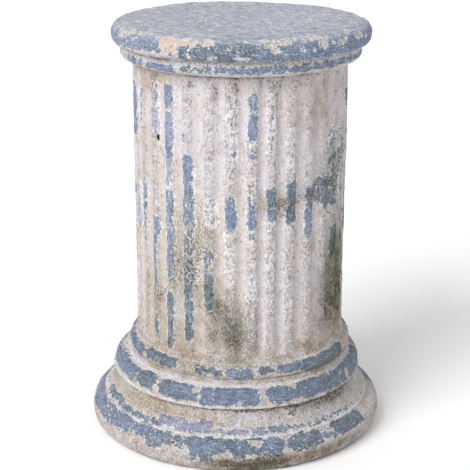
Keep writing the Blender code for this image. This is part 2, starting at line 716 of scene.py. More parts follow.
@dataclass
class Wear:
    """Everything that time has done to the column: what paint is left, and the chips, dirt and cracks.

    The front is as it was read. The hidden sides carry the same kinds of marks, drawn from a fixed seed.

    Attributes:
        first_hidden_rib: The first rib that the front doesn't show.
        last_hidden_rib: The last one, going on to the right.
        hidden_start: Where the hidden side of the mouldings starts, in degrees from the front.
        hidden_end: Where it ends.
        paint_chance: How often a stretch of a hidden rib has kept its paint.
        seed: Where the random draws start.
        paints: The patches of paint that are left.
        chips: The chips.
        stains: The dirt, with some painted shade.
        cracks: The cracks.
        pinholes: The small deep holes.
    """

    first_hidden_rib: int = 8
    last_hidden_rib: int = 25
    hidden_start: float = 93.0
    hidden_end: float = 278.0
    paint_chance: float = 0.62
    seed: int = 7
    paints: list[Paint] = field(default_factory=list)
    chips: list[Chip] = field(default_factory=list)
    stains: list[Stain] = field(default_factory=list)
    cracks: list[Crack] = field(default_factory=list)
    pinholes: list[Pinhole] = field(default_factory=list)

    def __post_init__(self) -> None:
        """Lists every mark, the front's first."""
        self.front_shaft_paint()
        self.front_moulding_paint()
        self.front_chips()
        self.front_stains()
        self.front_cracks()
        self.source = random.Random(self.seed)
        self.hidden_shaft_paint()
        self.hidden_moulding_paint()
        self.hidden_chips()
        self.hidden_stains()

    def front_shaft_paint(self) -> None:
        """The paint that is left on the ribs of the front.

        Each row gives the rib, the top and bottom heights, the tone, the wear and the width.
        """
        lavender, periwinkle, slate, steel, teal = Tone
        rows = [
            (-6.5, 490, 418, steel, 0.2, 1.3), (-5.5, 486, 440, teal, 0.42, 0.34),
            (-6.1, 362, 290, lavender, 0.42, 0.9), (-5.25, 492, 450, periwinkle, 0.3, 0.5),
            (-5.1, 372, 336, lavender, 0.4, 0.7), (-5, 371, 318, teal, 0.35, 0.42),
            (-5.02, 322, 271, steel, 0.45, 0.36), (-3.9, 504, 466, steel, 0.5, 0.44),
            (-3.86, 470, 438, lavender, 0.35, 0.46), (-4.08, 373, 334, lavender, 0.4, 0.34),
            (-3.96, 322, 296, slate, 0.25, 0.56), (-4.16, 300, 218, steel, 0.2, 0.44),
            (-4, 186, 153, teal, 0.35, 0.34), (-3.02, 505, 474, slate, 0.08, 0.52),
            (-3.02, 469, 402, periwinkle, 0.15, 0.5), (-3.04, 408, 370, lavender, 0.45, 0.46),
            (-3.04, 366, 242, steel, 0.34, 0.52), (-3.07, 223, 143, teal, 0.2, 0.46),
            (-2.2, 443, 431, slate, 0.2, 0.1), (-2, 413, 362, slate, 0.14, 0.5),
            (-1.98, 372, 318, steel, 0.34, 0.54), (-2, 322, 290, teal, 0.46, 0.46),
            (-2, 290, 268, teal, 0.4, 0.52), (-1.94, 266, 240, teal, 0.15, 0.54),
            (-2.05, 250, 157, teal, 0.2, 0.48), (-0.9, 362, 322, periwinkle, 0.66, 0.6),
            (-1.05, 289, 270, steel, 0.35, 0.5), (-1.16, 273, 250, slate, 0.2, 0.28),
            (-1.02, 258, 208, teal, 0.25, 0.46), (0.06, 484, 448, teal, 0.6, 0.4),
            (0.16, 448, 404, teal, 0.58, 0.28), (0, 366, 348, slate, 0.3, 0.42),
            (0.02, 352, 319, slate, 0.08, 0.54), (-0.02, 322, 306, slate, 0.75, 0.5),
            (-0.02, 304, 240, periwinkle, 0.72, 0.4), (1, 496, 475, slate, 0.25, 0.44),
            (1, 472, 437, slate, 0.08, 0.44), (0.94, 437, 428, slate, 0.6, 0.3),
            (0.98, 419, 412, periwinkle, 0.35, 0.42), (0.98, 366, 346, steel, 0.5, 0.46),
            (0.96, 348, 320, slate, 0.15, 0.46), (0.96, 315, 302, slate, 0.3, 0.38),
            (1.05, 278, 266, slate, 0.6, 0.2), (0.98, 256, 222, periwinkle, 0.66, 0.44),
            (1.96, 484, 420, steel, 0.63, 0.4), (2, 374, 346, steel, 0.2, 0.5),
            (2, 346, 326, slate, 0.15, 0.48), (2.1, 328, 316, slate, 0.45, 0.24),
            (1.85, 275, 268, lavender, 0.5, 0.3), (3, 450, 392, steel, 0.72, 0.36),
            (3.06, 380, 347, teal, 0.08, 0.54), (3.02, 348, 322, teal, 0.12, 0.6),
            (3.1, 328, 314, slate, 0.55, 0.3), (3.95, 412, 402, lavender, 0.7, 0.3),
            (4.1, 370, 338, teal, 0.3, 0.66), (4.7, 378, 342, teal, 0.35, 0.8),
            (3.98, 338, 303, periwinkle, 0.12, 0.44), (3.98, 304, 291, slate, 0.5, 0.34),
            (5.25, 378, 330, teal, 0.15, 0.62), (5, 327, 298, periwinkle, 0.5, 0.34),
            (4.92, 300, 245, lavender, 0.6, 0.14), (5.7, 440, 372, teal, 0.5, 0.5),
            (5.8, 378, 330, teal, 0.35, 0.4), (6.3, 452, 340, teal, 0.5, 0.5),
            (6.9, 420, 330, teal, 0.55, 0.5), (5.95, 305, 262, teal, 0.2, 0.62),
            (7.1, 466, 442, teal, 0.75, 0.48), (7.3, 431, 408, teal, 0.3, 0.6),
            (6.6, 406, 370, steel, 0.3, 0.28),
        ]
        self.paints += [
            Paint(Zone.SHAFT, *rib_box(rib, width), high, low, tone, wear)
            for rib, high, low, tone, wear, width in rows
        ]

    def front_moulding_paint(self) -> None:
        """The paint that is left on the front of the cap, the neck ring, the collar and the foot.

        Each row gives the left and right edges in degrees, the top, the bottom, the tone and the wear.
        """
        lavender, periwinkle, slate, steel, teal = Tone
        self.paints.append(Paint(Zone.TOP, -26, 26, 590, 560, periwinkle, 0.3))
        patches = {
            Zone.CAP: [
                (-84, -48, 576, 546, periwinkle, 0.34), (-52, -26, 576, 548, slate, 0.25),
                (-28, 8, 576, 542, teal, 0.2), (4, 46, 576, 541.5, slate, 0.12),
                (44, 94, 576, 542, slate, 0.2),
            ],
            Zone.NECK: [
                (-66, -50, 533, 524, slate, 0.25), (-48, -31, 532.5, 522.5, slate, 0.2),
                (-28, -16, 534, 526.5, teal, 0.25), (-16, 10, 534.5, 525.5, slate, 0.12),
                (8, 34, 534.5, 525.5, slate, 0.2), (33, 94, 535.5, 525.5, slate, 0.2),
            ],
            Zone.COLLAR: [
                (-84, -59, 130, 112, steel, 0.2), (-57, -33, 131, 118, teal, 0.2),
                (-24, -10, 129, 117.5, teal, 0.3), (-8, 6.5, 129, 114.5, slate, 0.3),
                (8, 18, 130, 120.5, steel, 0.25), (19, 34, 130, 117.5, steel, 0.15),
                (32, 66, 130.5, 113, teal, 0.15),
            ],
            Zone.UPPER_TORUS: [
                (-84, -54, 103.4, 87, slate, 0.2), (-53, -40.5, 104, 86, teal, 0.12),
                (-39, -17, 103.4, 86, steel, 0.1), (-18, 9.8, 103.4, 84, slate, 0.08),
                (13.5, 27, 103.3, 85.5, steel, 0.12), (26, 50, 103.4, 84.5, steel, 0.12),
                (48, 90, 103, 83, steel, 0.2),
            ],
            Zone.SCOTIA: [
                (-22, -8, 80, 76, steel, 0.35), (23, 29, 70, 61, teal, 0.3), (-80, -60, 56, 46, teal, 0.3),
                (-62, -34, 52, 44.6, steel, 0.25), (-36, -9, 60, 46, lavender, 0.3),
                (-9, 12, 53.5, 46.4, lavender, 0.15), (-8, 12, 48.6, 47.2, slate, 0.3),
                (13, 24, 55, 47, periwinkle, 0.15), (24, 66, 51, 45, steel, 0.42),
            ],
            Zone.FOOT_TORUS: [
                (-86, -46, 44, 27, slate, 0.3), (-46, -36, 44, 33, slate, 0.2),
                (-37, -26, 43.4, 25, steel, 0.3), (-26, -20, 43.4, 32, teal, 0.4),
                (-21, 19, 43.4, 27, steel, 0.18), (-22, -14, 34, 15, steel, 0.2),
                (-14, -7, 32, 18, teal, 0.3), (-2, 4, 31, 20, teal, 0.3), (10, 18, 32, 22, teal, 0.3),
                (20, 36, 42.6, 25, teal, 0.28), (35, 43, 40, 28, steel, 0.4),
                (42, 62, 42.4, 27, teal, 0.12), (66, 84, 38, 32, lavender, 0.75),
            ],
        }
        self.paints += [
            Paint(zone, *ring_box(*row[:2]), *row[2:]) for zone, rows in patches.items() for row in rows
        ]

    def front_chips(self) -> None:
        """The chips and scrapes of the front.

        Each row gives the left and right edges in degrees, the top, the bottom, what shows and the depth.
        """
        lime, clay = Loss
        scrapes = {
            Zone.CAP: [
                (-37, -27.6, 569, 551, clay, 2), (-31, -19, 567.5, 560, clay, 1.8),
                (-21, -11.5, 568, 563.5, clay, 1.4), (-51, -45, 570.5, 566.5, lime, 0.7),
                (-58, -54, 569, 564, lime, 0.5), (9, 14, 569, 559, lime, 1),
                (12, 22, 568.5, 563.5, lime, 1), (12.5, 16, 561, 554, lime, 0.8),
                (29, 35, 569.5, 565, lime, 1), (33, 39, 567, 557, lime, 1.2), (38, 41, 570, 566, lime, 0.8),
                (45, 50, 563, 554, lime, 0.7), (57, 65, 566, 559, lime, 1), (-2, 4, 547.5, 545, lime, 0.3),
                (-14, -10, 548, 545, lime, 0.4), (24, 26.5, 557, 553.5, lime, 0.5),
                (26, 27.5, 566, 563, lime, 0.4), (30, 31.6, 554, 551, lime, 0.4),
                (41, 43, 561, 556, lime, 0.5), (52, 54, 569, 564.5, lime, 0.5),
                (67, 70, 561, 555, lime, 0.5), (17, 18.5, 553, 550, lime, 0.4),
                (6, 7.5, 566, 563, lime, 0.4), (-65, -60, 568, 558, lime, 0.5),
                (-6, -4, 559, 556, lime, 0.4), (-23, -21.5, 558, 548, lime, 0.4),
                (94, 106, 573, 562, lime, 2.6),
            ],
            Zone.UPPER_TORUS: [
                (-21.5, -17.5, 104.5, 98.5, lime, 0.5), (-18.6, -16.4, 96.5, 90.5, lime, 0.4),
                (26, 28.5, 104, 99, lime, 0.4), (-1, 1.5, 90, 85, lime, 0.4), (60, 63.5, 97, 88, lime, 0.5),
            ],
            Zone.FOOT_TORUS: [
                (5, 11, 42, 36.5, lime, 0.8), (-45, -36, 33, 22, lime, 0.9), (-30, -17, 31, 12, lime, 0.8),
                (-8, -1, 28, 16, lime, 0.7),
            ],
        }
        self.chips += [
            Chip(zone, *ring_box(*row[:2]), *row[2:]) for zone, rows in scrapes.items() for row in rows
        ]

    def front_stains(self) -> None:
        """The dirt and tints of the front, with some painted shade.

        A spot's row gives its rib, height, half width in ribs, half height and strength. A smear lies on
        the mouldings. Its row gives the left and right edges in degrees, the top, the bottom and the
        strength.
        """
        spots = {
            # The small spots at 500 to 510 mm, at the tops of the flutes under the neck ring, are painted
            # shade with some grime.
            Dirt.GRIME: [
                (-4.3, 212, 0.9, 60, 0.25), (-1.6, 262, 0.8, 66, 0.4), (2.6, 337, 0.8, 24, 0.5),
                (6.6, 185, 1.4, 46, 0.6), (-1.8, 508, 0.3, 12, 0.7), (-0.68, 500, 0.25, 24, 0.7),
                (0.25, 505, 0.3, 18, 0.8), (1.38, 509, 0.25, 13, 0.7), (2.45, 507, 0.25, 15, 0.7),
                (3.5, 509, 0.25, 12, 0.6), (-2.1, 285, 1.3, 60, 0.5), (-2.3, 240, 1.2, 34, 0.35),
                (-0.4, 232, 0.7, 40, 0.35), (3.8, 350, 2.3, 34, 0.45), (4.4, 258, 1.8, 60, 0.3),
                (-0.1, 190, 1.1, 44, 0.55), (0.3, 156, 1.1, 26, 0.5), (-0.6, 212, 0.4, 16, 0.8),
                (-0.3, 192, 0.4, 22, 0.6), (0.1, 172, 0.4, 20, 0.6), (-2.6, 262, 0.9, 30, 0.5),
                (4.2, 358, 0.8, 12, 0.6), (4.9, 372, 0.8, 14, 0.55), (6.3, 388, 1.2, 60, 0.5),
                (2.5, 350, 1.8, 8, 0.45), (5.8, 356, 0.9, 40, 0.45), (7.2, 430, 1.2, 40, 0.35),
                (6.4, 235, 1.7, 100, 0.8), (5.2, 190, 1, 55, 0.45),
            ],
            Dirt.MOSS: [
                (6.6, 185, 1.6, 52, 0.9), (6, 372, 1, 60, 0.4), (6.5, 240, 1.6, 90, 1),
                (5.4, 200, 1.2, 60, 0.55), (-2.6, 185, 2.6, 62, 0.2), (0.2, 172, 1.2, 46, 0.5),
                (-0.9, 215, 0.8, 60, 0.4), (2.4, 356, 1.8, 18, 0.3),
            ],
            Dirt.TAN: [
                (-2, 300, 1.5, 75, 0.85), (-2.2, 262, 1.9, 70, 0.8), (-4.6, 262, 1.2, 50, 0.6),
                (-4.7, 330, 1.8, 250, 0.75), (-1.6, 200, 1, 66, 0.7), (0, 262, 1.5, 80, 0.35),
                (-0.6, 330, 1.3, 50, 0.5), (-0.4, 240, 0.9, 50, 0.6), (-3.4, 178, 3.4, 62, 0.85),
                (-4.4, 506, 2, 18, 0.7), (-2.55, 392, 0.34, 20, 1), (-4, 300, 1.6, 70, 0.3),
                (4.4, 462, 0.9, 34, 0.4),
            ],
            Dirt.RUST: [
                (-4, 206, 0.5, 16, 0.8), (4.3, 144, 0.8, 18, 0.6), (-2.5, 142, 1.4, 15, 0.4),
                (4.3, 290, 0.35, 18, 0.4), (-4.6, 504, 1.7, 24, 0.5), (4.6, 474, 1.2, 46, 0.4),
            ],
            Dirt.CRAZE: [
                (-2.1, 262, 1.6, 34, 1),
            ],
            # Where painted shade darkens the right-hand arrises, and the crust is flakier.
            Dirt.EDGE: [
                (0.1, 450, 0.5, 70, 1), (1, 400, 0.5, 110, 0.6), (2.1, 470, 0.5, 60, 0.8),
                (2.8, 300, 2.2, 150, 0.7), (0.8, 190, 1.4, 60, 0.7), (-1, 300, 0.6, 90, 0.5),
                (6, 330, 1.6, 150, 0.8),
            ],
            Dirt.SAND: [
                (-4.3, 215, 0.9, 66, 0.7), (-1.9, 312, 1.4, 62, 1), (-2.4, 252, 1.6, 50, 0.9),
                (-3.2, 160, 2.6, 34, 0.5), (2, 352, 1.4, 16, 0.8), (0.3, 176, 1.3, 60, 0.9),
                (5.2, 392, 1, 34, 0.8),
            ],
        }
        smears = {
            # The smears under the cap's edge and under the bed fillet, at 538 to 551 and 70 to 82 mm, are
            # painted shade in those creases, with some dirt.
            Dirt.GRIME: [
                (-66, 66, 551, 538, 0.2), (-30, 30, 528, 516, 0.4), (14, 40, 82, 70, 0.9),
                (-12, 24, 81, 71, 0.9), (24, 76, 86, 54, 0.9), (-30, -14, 80, 70, 0.3),
                (-100, -64, 84, 50, 0.5), (-18, 30, 30, -4, 1), (-10, 22, 26, 0, 0.8),
                (16, 66, 28, 0, 0.45), (24, 64, 50, 46, 0.6), (34, 74, 132, 86, 0.25), (20, 70, 30, 2, 0.3),
            ],
            Dirt.MOSS: [
                (14, 60, 32, 2, 0.35), (-14, 30, 24, 2, 0.8), (-86, -64, 30, 4, 0.2),
            ],
            Dirt.TAN: [
                (-60, 60, 545, 536, 0.4), (-62, -6, 82, 52, 0.45), (-70, -32, 84, 44, 0.8),
                (-98, -56, 84, 44, 0.95), (-26, 14, 32, 4, 0.8), (-34, -22, 133, 106, 0.9),
            ],
            Dirt.RUST: [
                (18, 48, 526, 514, 0.8), (-52, -24, 546, 530, 0.35), (-46, -28, 82, 72, 0.6),
                (-54, -8, 76, 52, 0.45), (12, 48, 27, 4, 0.6), (-20, 12, 18, 2, 0.4),
                (-34, 0, 74, 56, 0.35), (-60, -40, 118, 106, 0.35), (30, 60, 114, 106, 0.6),
            ],
            Dirt.SAND: [
                (-70, -34, 80, 52, 0.5), (16, 70, 84, 56, 0.7), (-60, -10, 134, 104, 0.4),
            ],
        }
        self.stains += [Stain(kind, *row) for kind, rows in spots.items() for row in rows]
        self.stains += [ring_stain(kind, *row) for kind, rows in smears.items() for row in rows]

    def front_cracks(self) -> None:
        """The cracks and small holes of the front."""
        lower_left = ((-4.3, 205), (-4.0, 206), (-3.6, 215), (-3.3, 229))
        self.cracks += [
            Crack((*lower_left, (-2.9, 241), (-2.5, 266), (-2.2, 272)), 1.7),
            Crack(((-4.0, 206), (-3.9, 218), (-4.05, 228), (-4.0, 240)), 1.0),
            Crack(((-1.5, 208), (-1.2, 201), (-0.9, 203), (-0.6, 190), (-0.7, 172)), 1.2),
            Crack(((-2.2, 272), (-1.7, 276), (-1.3, 286))),
            Crack(((-1.6, 243), (-1.2, 246), (-0.9, 240))),
            Crack(((-0.9, 216), (-0.6, 206), (-0.2, 185), (0.4, 168), (0.5, 158))),
            Crack(((1.9, 346), (2.3, 349), (2.9, 351), (3.4, 348), (3.9, 350), (4.3, 348), (4.6, 344)), 1.2),
            Crack(((4.0, 360), (4.3, 369), (4.7, 373), (5.1, 376))),
            Crack(((5.2, 331), (5.8, 315), (6.3, 304), (7.2, 298))),
            Crack(((5.9, 433), (6.6, 432), (7.5, 430)), 0.5),
            Crack(((-3.6, 416), (-3.4, 404), (-3.5, 392)), 0.5),
            Crack(((5.8, 185), (6.1, 168), (6.5, 160)), 0.7),
        ]
        self.pinholes += [
            Pinhole(-3.79, 429.6, 2.3, 4.2, 4.0),
            Pinhole(ribs_at(-41), 539.5, 3.2, 2.0, 3.0),
            Pinhole(-3.7, 512, 1.2, 1.2, 1.0),
            Pinhole(-4.0, 515, 1.0, 0.9, 0.8),
            Pinhole(ribs_at(46), 80, 1.6, 2.4, 1.5),
        ]

    def hidden_shaft_paint(self) -> None:
        """Paint left on the ribs that the front doesn't show."""
        source = self.source
        tones = list(Tone)
        for rib in range(self.first_hidden_rib, self.last_hidden_rib + 1):
            height = 500.0 - source.uniform(0.0, 60.0)
            while height > 160.0:
                length = source.uniform(14.0, 85.0)
                width = source.uniform(0.34, 0.54)
                place = rib + source.uniform(-0.08, 0.08)
                tone = source.choice(tones)
                wear = source.choice([0.12, 0.2, 0.35, 0.6, 0.85])
                if source.random() < self.paint_chance:
                    low = max(height - length, 144.0)
                    box = rib_box(place, width)
                    self.paints.append(Paint(Zone.SHAFT, *box, height, low, tone, wear))
                height -= length + source.uniform(6.0, 90.0)

    def hidden_moulding_paint(self) -> None:
        """Paint left on the back of the mouldings, in runs with gaps between them."""
        source = self.source
        runs = {
            Zone.CAP: (576.0, 546.0, 24.0, 0.0),
            Zone.NECK: (536.5, 526.5, 18.0, 3.0),
            Zone.COLLAR: (130.5, 119.0, 18.0, 4.0),
            Zone.UPPER_TORUS: (102.5, 88.0, 22.0, 3.0),
            Zone.SCOTIA: (51.0, 46.0, 20.0, 8.0),
            Zone.FOOT_TORUS: (42.0, 29.0, 16.0, 1.0),
        }
        tones = list(Tone)
        for zone, (high, low, length, gap) in runs.items():
            angle = self.hidden_start
            while angle < self.hidden_end:
                end = min(angle + source.uniform(0.5, 1.5) * length, self.hidden_end)
                sag = source.uniform(-1.0, 1.0) * (high - low) * 0.18
                wear = source.uniform(0.1, 0.4) + (0.3 if zone is Zone.SCOTIA else 0.0)
                tone = source.choice(tones)
                self.paints.append(Paint(zone, *ring_box(angle, end), high, low + sag, tone, wear))
                angle = end + source.uniform(0.0, 1.6) * gap

    def hidden_chips(self) -> None:
        """Chips on the back of the cap and the foot."""
        source = self.source
        places = {
            Zone.CAP: (569.0, 549.0, 13),
            Zone.UPPER_TORUS: (103.0, 86.0, 7),
            Zone.FOOT_TORUS: (41.0, 10.0, 11),
        }
        for zone, (high, low, count) in places.items():
            for _ in range(count):
                angle = source.uniform(self.hidden_start + 8.0, self.hidden_end - 8.0)
                width = source.uniform(2.0, 9.0)
                top = source.uniform(low + 5.0, high)
                tall = source.uniform(4.0, 11.0)
                shows = source.choice(list(Loss))
                depth = source.uniform(0.4, 1.6)
                box = ring_box(angle, angle + width)
                self.chips.append(Chip(zone, *box, top, top - tall, shows, depth))

    def hidden_stains(self) -> None:
        """Dirt on the back, with some painted shade along the arrises."""
        source = self.source
        # Some of these spots place painted shade along the arrises of the back.
        kinds = [Dirt.GRIME, Dirt.EDGE, Dirt.MOSS, Dirt.TAN, Dirt.TAN, Dirt.RUST]
        for _ in range(34):
            kind = source.choice(kinds)
            middle = source.uniform(self.first_hidden_rib + 0.5, self.last_hidden_rib)
            low_on_shaft = kind in (Dirt.MOSS, Dirt.RUST)
            height = source.uniform(140.0, 250.0) if low_on_shaft else source.uniform(150.0, 500.0)
            half_height = source.uniform(14.0, 60.0)
            half_width = source.uniform(0.5, 2.2)
            self.stains.append(Stain(kind, middle, height, half_width, half_height, source.uniform(0.3, 0.8)))
        for _ in range(12):
            angle = source.uniform(self.hidden_start, self.hidden_end - 30.0)
            kind = source.choice(kinds)
            high = source.choice([82.0, 34.0, 30.0])
            end = angle + source.uniform(14.0, 40.0)
            self.stains.append(ring_stain(kind, angle, end, high, high - 28.0, 0.7))
        for start in (9.5, 14.0, 20.5):
            points = [(start, source.uniform(180.0, 420.0))]
            for _ in range(5):
                rib, height = points[-1]
                points.append((rib + source.uniform(0.2, 0.6), height + source.uniform(-16.0, 22.0)))
            self.cracks.append(Crack(tuple(points), 0.8))


@dataclass
class ColumnSurface:
    """The whole worn surface of the column, as one closed mesh.

    Attributes:
        wear: The marks that it carries.
        cap: The cap's outline.
        neck: The neck ring's outline.
        shaft: The shaft's outline and flutes.
        collar: The collar's outline.
        foot: The foot's outline.
        rib_fractions: Where the mesh's columns stand between one rib's middle and the next, in ribs.
        wave: Depth of the broad hand-made unevenness.
        ripple: Depth of the finer unevenness on it.
        crust: Depth of the crust on the ribs.
        flute_crust: The share of that crust which lies in the flutes.
        crown: How far a rib falls away from its middle to its arrises.
        arris_wear: How deep the arrises are bitten.
        left_arris_shade: How strong the painted shade on the left-hand arrises is beside the right-hand ones.
        arris_jog: How far the arrises stray sideways.
        damp: How much rising damp has stained the surface, as (height, share), from the ground up.
        mark_reach: Greatest distance from a mark's edge that is kept.
        rib_sway: Sideways unevenness of the marks on the ribs.
        ring_sway: Sideways unevenness of the marks on the plain mouldings.
        ring_drop: Unevenness up and down of the paint on the plain mouldings.
        paint_roundness: How round the corners of the painted patches are.
        worn_heights: The rubbed edges, as (height, half width, strength).
    """

    wear: Wear
    cap: Cap = field(default_factory=Cap)
    neck: NeckRing = field(default_factory=NeckRing)
    shaft: FlutedShaft = field(default_factory=FlutedShaft)
    collar: Collar = field(default_factory=Collar)
    foot: Foot = field(default_factory=Foot)
    rib_fractions: tuple[float, ...] = (
        0.0, 0.09, 0.165, 0.225, 0.275, 0.34, 0.42, 0.5, 0.58, 0.66, 0.725, 0.775, 0.835, 0.91,
    )
    wave: float = 0.8
    ripple: float = 0.35
    crust: float = 0.8
    flute_crust: float = 0.22
    crown: float = 0.9
    arris_wear: float = 0.4
    left_arris_shade: float = 0.45
    arris_jog: float = 1.0
    damp: tuple[Pair, ...] = (
        (0, 0.75), (24, 0.58), (46, 0.3), (66, 0.35), (104, 0.6), (135, 0.7), (190, 0),
    )
    mark_reach: float = 9.0
    rib_sway: float = 0.7
    ring_sway: float = 2.0
    ring_drop: float = 0.5
    paint_roundness: float = 0.7
    worn_heights: tuple[tuple[float, float, float], ...] = (
        (44.2, 1.3, 1.0), (82.0, 1.9, 1.0), (103.7, 1.1, 1.0),
        (132.0, 1.8, 0.9), (523.0, 2.4, 0.35), (537.0, 2.6, 0.5),
    )

    def __post_init__(self) -> None:
        """Lays out the rings and the places round them, and measures every mark on them."""
        parts = (self.cap, self.neck, self.shaft, self.collar, self.foot)
        bands = [band for part in parts for band in part.bands()]
        rings = np.concatenate([band.rings for band in bands])
        self.radii = rings[:, 0]
        self.heights = rings[:, 1]
        self.zones = np.array([band.zone.value for band in bands for _ in band.rings])
        # Painted shade, with some dirt, in the creases, one share for each ring.
        self.crease_shade_and_dirt = np.concatenate([band.crease_shade_and_dirt for band in bands])
        self.worn_edge = self.edge_wear()
        self.shifts = self.soften(np.concatenate([np.full(len(band.rings), band.shift) for band in bands]))
        steps = np.diff(rings, axis=0)
        self.lengths = np.concatenate([[0.0], np.cumsum(np.hypot(steps[:, 0], steps[:, 1]))])
        self.normals = self.ring_normals(steps)
        starts = np.arange(-RIBS // 2, RIBS // 2)[:, None]
        self.places = (starts + np.array(self.rib_fractions)[None]).ravel()
        self.on_shaft = (self.zones == Zone.SHAFT.value).astype(float)
        self.fluted = (self.on_shaft * self.shaft.flute_fade(self.heights))[:, None]
        self.angles = self.warped_angles()
        self.base = self.base_points()
        self.measure_marks()

    @staticmethod
    def soften(values: Field) -> Field:
        """Values along the outline, eased over a few rings."""
        kernel = np.ones(5) / 5
        return np.convolve(np.pad(values, 2, mode="edge"), kernel, mode="valid")

    @staticmethod
    def ring_normals(steps: Field) -> Field:
        """Outward directions of the outline at each ring.

        Args:
            steps: The steps from ring to ring.

        Returns:
            Unit vectors of (outwards, upwards).
        """
        across = np.stack([-steps[:, 1], steps[:, 0]], axis=1)
        across /= np.linalg.norm(across, axis=1, keepdims=True)
        normals = np.concatenate([[[0.0, 1.0]], across[1:] + across[:-1], [[0.0, -1.0]]])
        return normals / np.linalg.norm(normals, axis=1, keepdims=True)

    def warped_angles(self) -> Field:
        """Angle from the front of every vertex, with the ribs a little out of true.

        Returns:
            Angles in radians, for each ring and place round it.
        """
        even = np.radians(FIRST_RIB_DEGREES + self.places * RIB_STEP_DEGREES)
        drift = self.shaft.rib_shift(self.places) * math.radians(RIB_STEP_DEGREES)
        strength = smooth_step(122.0, 150.0, self.heights) * smooth_step(530.0, 512.0, self.heights)
        shape = (len(self.heights), len(even))
        x = np.broadcast_to(self.shaft.radius * np.sin(even), shape)
        y = np.broadcast_to(-self.shaft.radius * np.cos(even), shape)
        points = np.stack([x, y, np.broadcast_to(self.heights[:, None], shape)], axis=-1)
        jog = self.arris_jog * (Grain(24.0, 21).at(points) + 0.6 * Grain(9.0, 22).at(points))
        return even[None] + strength[:, None] * (drift[None] + jog / self.shaft.radius)

    def base_points(self, push: Field | float = 0.0, lift: Field | float = 0.0) -> Field:
        """Points of the surface.

        Args:
            push: How far each is pushed out along its normal.
            lift: How far each is raised.

        Returns:
            Places with x, y and z along the last axis, for each ring and place round it.
        """
        radii = self.radii[:, None] + push * self.normals[:, :1]
        heights = self.heights[:, None] + push * self.normals[:, 1:] + lift
        x = self.shifts[:, None] + radii * np.sin(self.angles)
        y = -radii * np.cos(self.angles)
        return np.stack([x, y, np.broadcast_to(heights, x.shape)], axis=-1)

    def zone_lengths(self, zone: Zone, height: float) -> float:
        """How far down the outline a height of a zone lies.

        Args:
            zone: The zone to look in.
            height: The height to find.

        Returns:
            Length along the outline from the middle of the top.
        """
        rows = np.flatnonzero(self.zones == zone.value)
        found = np.interp(height, self.heights[rows][::-1], self.lengths[rows][::-1])
        beyond = max(height - self.heights[rows[0]], 0.0) + min(height - self.heights[rows[-1]], 0.0)
        return float(found - beyond)

    def inside(self, mark: Patch, rows: slice, sway: Field, drop: Field, roundness: float) -> Field:
        """Distance inside a mark's edge, negative outside it.

        Args:
            mark: The mark, as a box.
            rows: The rings to judge.
            sway: Sideways unevenness of the edge.
            drop: Unevenness of the edge along the outline.
            roundness: How round its corners are, from 0 for square to 1 for as round as fits.

        Returns:
            Distances for the rings in rows.
        """
        middle = (mark.start + mark.end) / 2
        step = math.tau * self.radii[rows, None] / RIBS
        half_width = (mark.end - mark.start) / 2 * step
        high = self.zone_lengths(mark.zone, mark.high)
        low = self.zone_lengths(mark.zone, mark.low)
        corner = roundness * np.minimum(half_width, (low - high) / 2)
        across = np.abs(round_difference(self.places[None], middle) * step + sway[rows]) - half_width + corner
        along = np.abs(self.lengths[rows, None] - (high + low) / 2 + drop[rows]) - (low - high) / 2 + corner
        beyond = np.hypot(np.maximum(across, 0.0), np.maximum(along, 0.0))
        return corner - beyond - np.minimum(np.maximum(across, along), 0.0)

    def rows_near(self, zone: Zone) -> slice:
        """The rings of a zone, with a few beyond each end."""
        rows = np.flatnonzero(self.zones == zone.value)
        return slice(max(rows[0] - 3, 0), min(rows[-1] + 4, len(self.zones)))

    def measure_marks(self) -> None:
        """Works out how each mark lies on the mesh."""
        shape = self.angles.shape
        self.sway = 1.3 * Grain(13.0, 31).at(self.base) + 0.8 * Grain(6.0, 32).at(self.base)
        self.drop = 2.6 * Grain(11.0, 33).at(self.base) + 1.5 * Grain(5.0, 34).at(self.base)
        self.paint = np.full(shape, -self.mark_reach)
        weight = np.full(shape, 1e-9)
        tone = np.zeros(shape)
        wear = np.zeros(shape)
        for patch in self.wear.paints:
            rows = self.rows_near(patch.zone)
            on_rib = patch.zone is Zone.SHAFT
            sway = self.sway * (self.rib_sway if on_rib else self.ring_sway)
            drop = self.drop * (1.0 if on_rib else self.ring_drop)
            depth = self.inside(patch, rows, sway, drop, self.paint_roundness)
            self.paint[rows] = np.maximum(self.paint[rows], depth)
            pull = np.exp(np.clip(depth, -30.0, 12.0) / 2.5)
            weight[rows] += pull
            tone[rows] += pull * patch.tone.value
            wear[rows] += pull * patch.wear
        self.tone = tone / weight
        self.paint_wear = wear / weight
        self.clay = np.full(shape, -self.mark_reach)
        self.loss = np.zeros(shape)
        for chip in self.wear.chips:
            rows = self.rows_near(chip.zone)
            depth = self.inside(chip, rows, self.sway * self.ring_sway, self.drop, 1.0)
            self.paint[rows] = np.minimum(self.paint[rows], -depth)
            self.loss[rows] = np.maximum(self.loss[rows], chip.depth * smooth_step(-1.0, 2.2, depth))
            if chip.shows is Loss.CLAY:
                self.clay[rows] = np.maximum(self.clay[rows], depth)
        self.paint = np.clip(self.paint, -self.mark_reach, self.mark_reach)
        self.dirt = {kind: self.dirt_field(kind) for kind in Dirt}
        self.measure_cracks()
        self.measure_pinholes()

    def dirt_field(self, kind: Dirt) -> Field:
        """Strength of one kind of dirt over the surface.

        Args:
            kind: The kind to add up.

        Returns:
            Strengths from 0 to 1.
        """
        clear = np.ones(self.angles.shape)
        for stain in self.wear.stains:
            if stain.kind is kind:
                across = round_difference(self.places[None], stain.middle) / stain.half_width
                along = (self.heights[:, None] + 2.0 * self.drop - stain.height) / stain.half_height
                reach = np.hypot(across, along)
                clear *= 1.0 - stain.strength * smooth_step(1.25, 0.15, reach)
        return 1.0 - clear

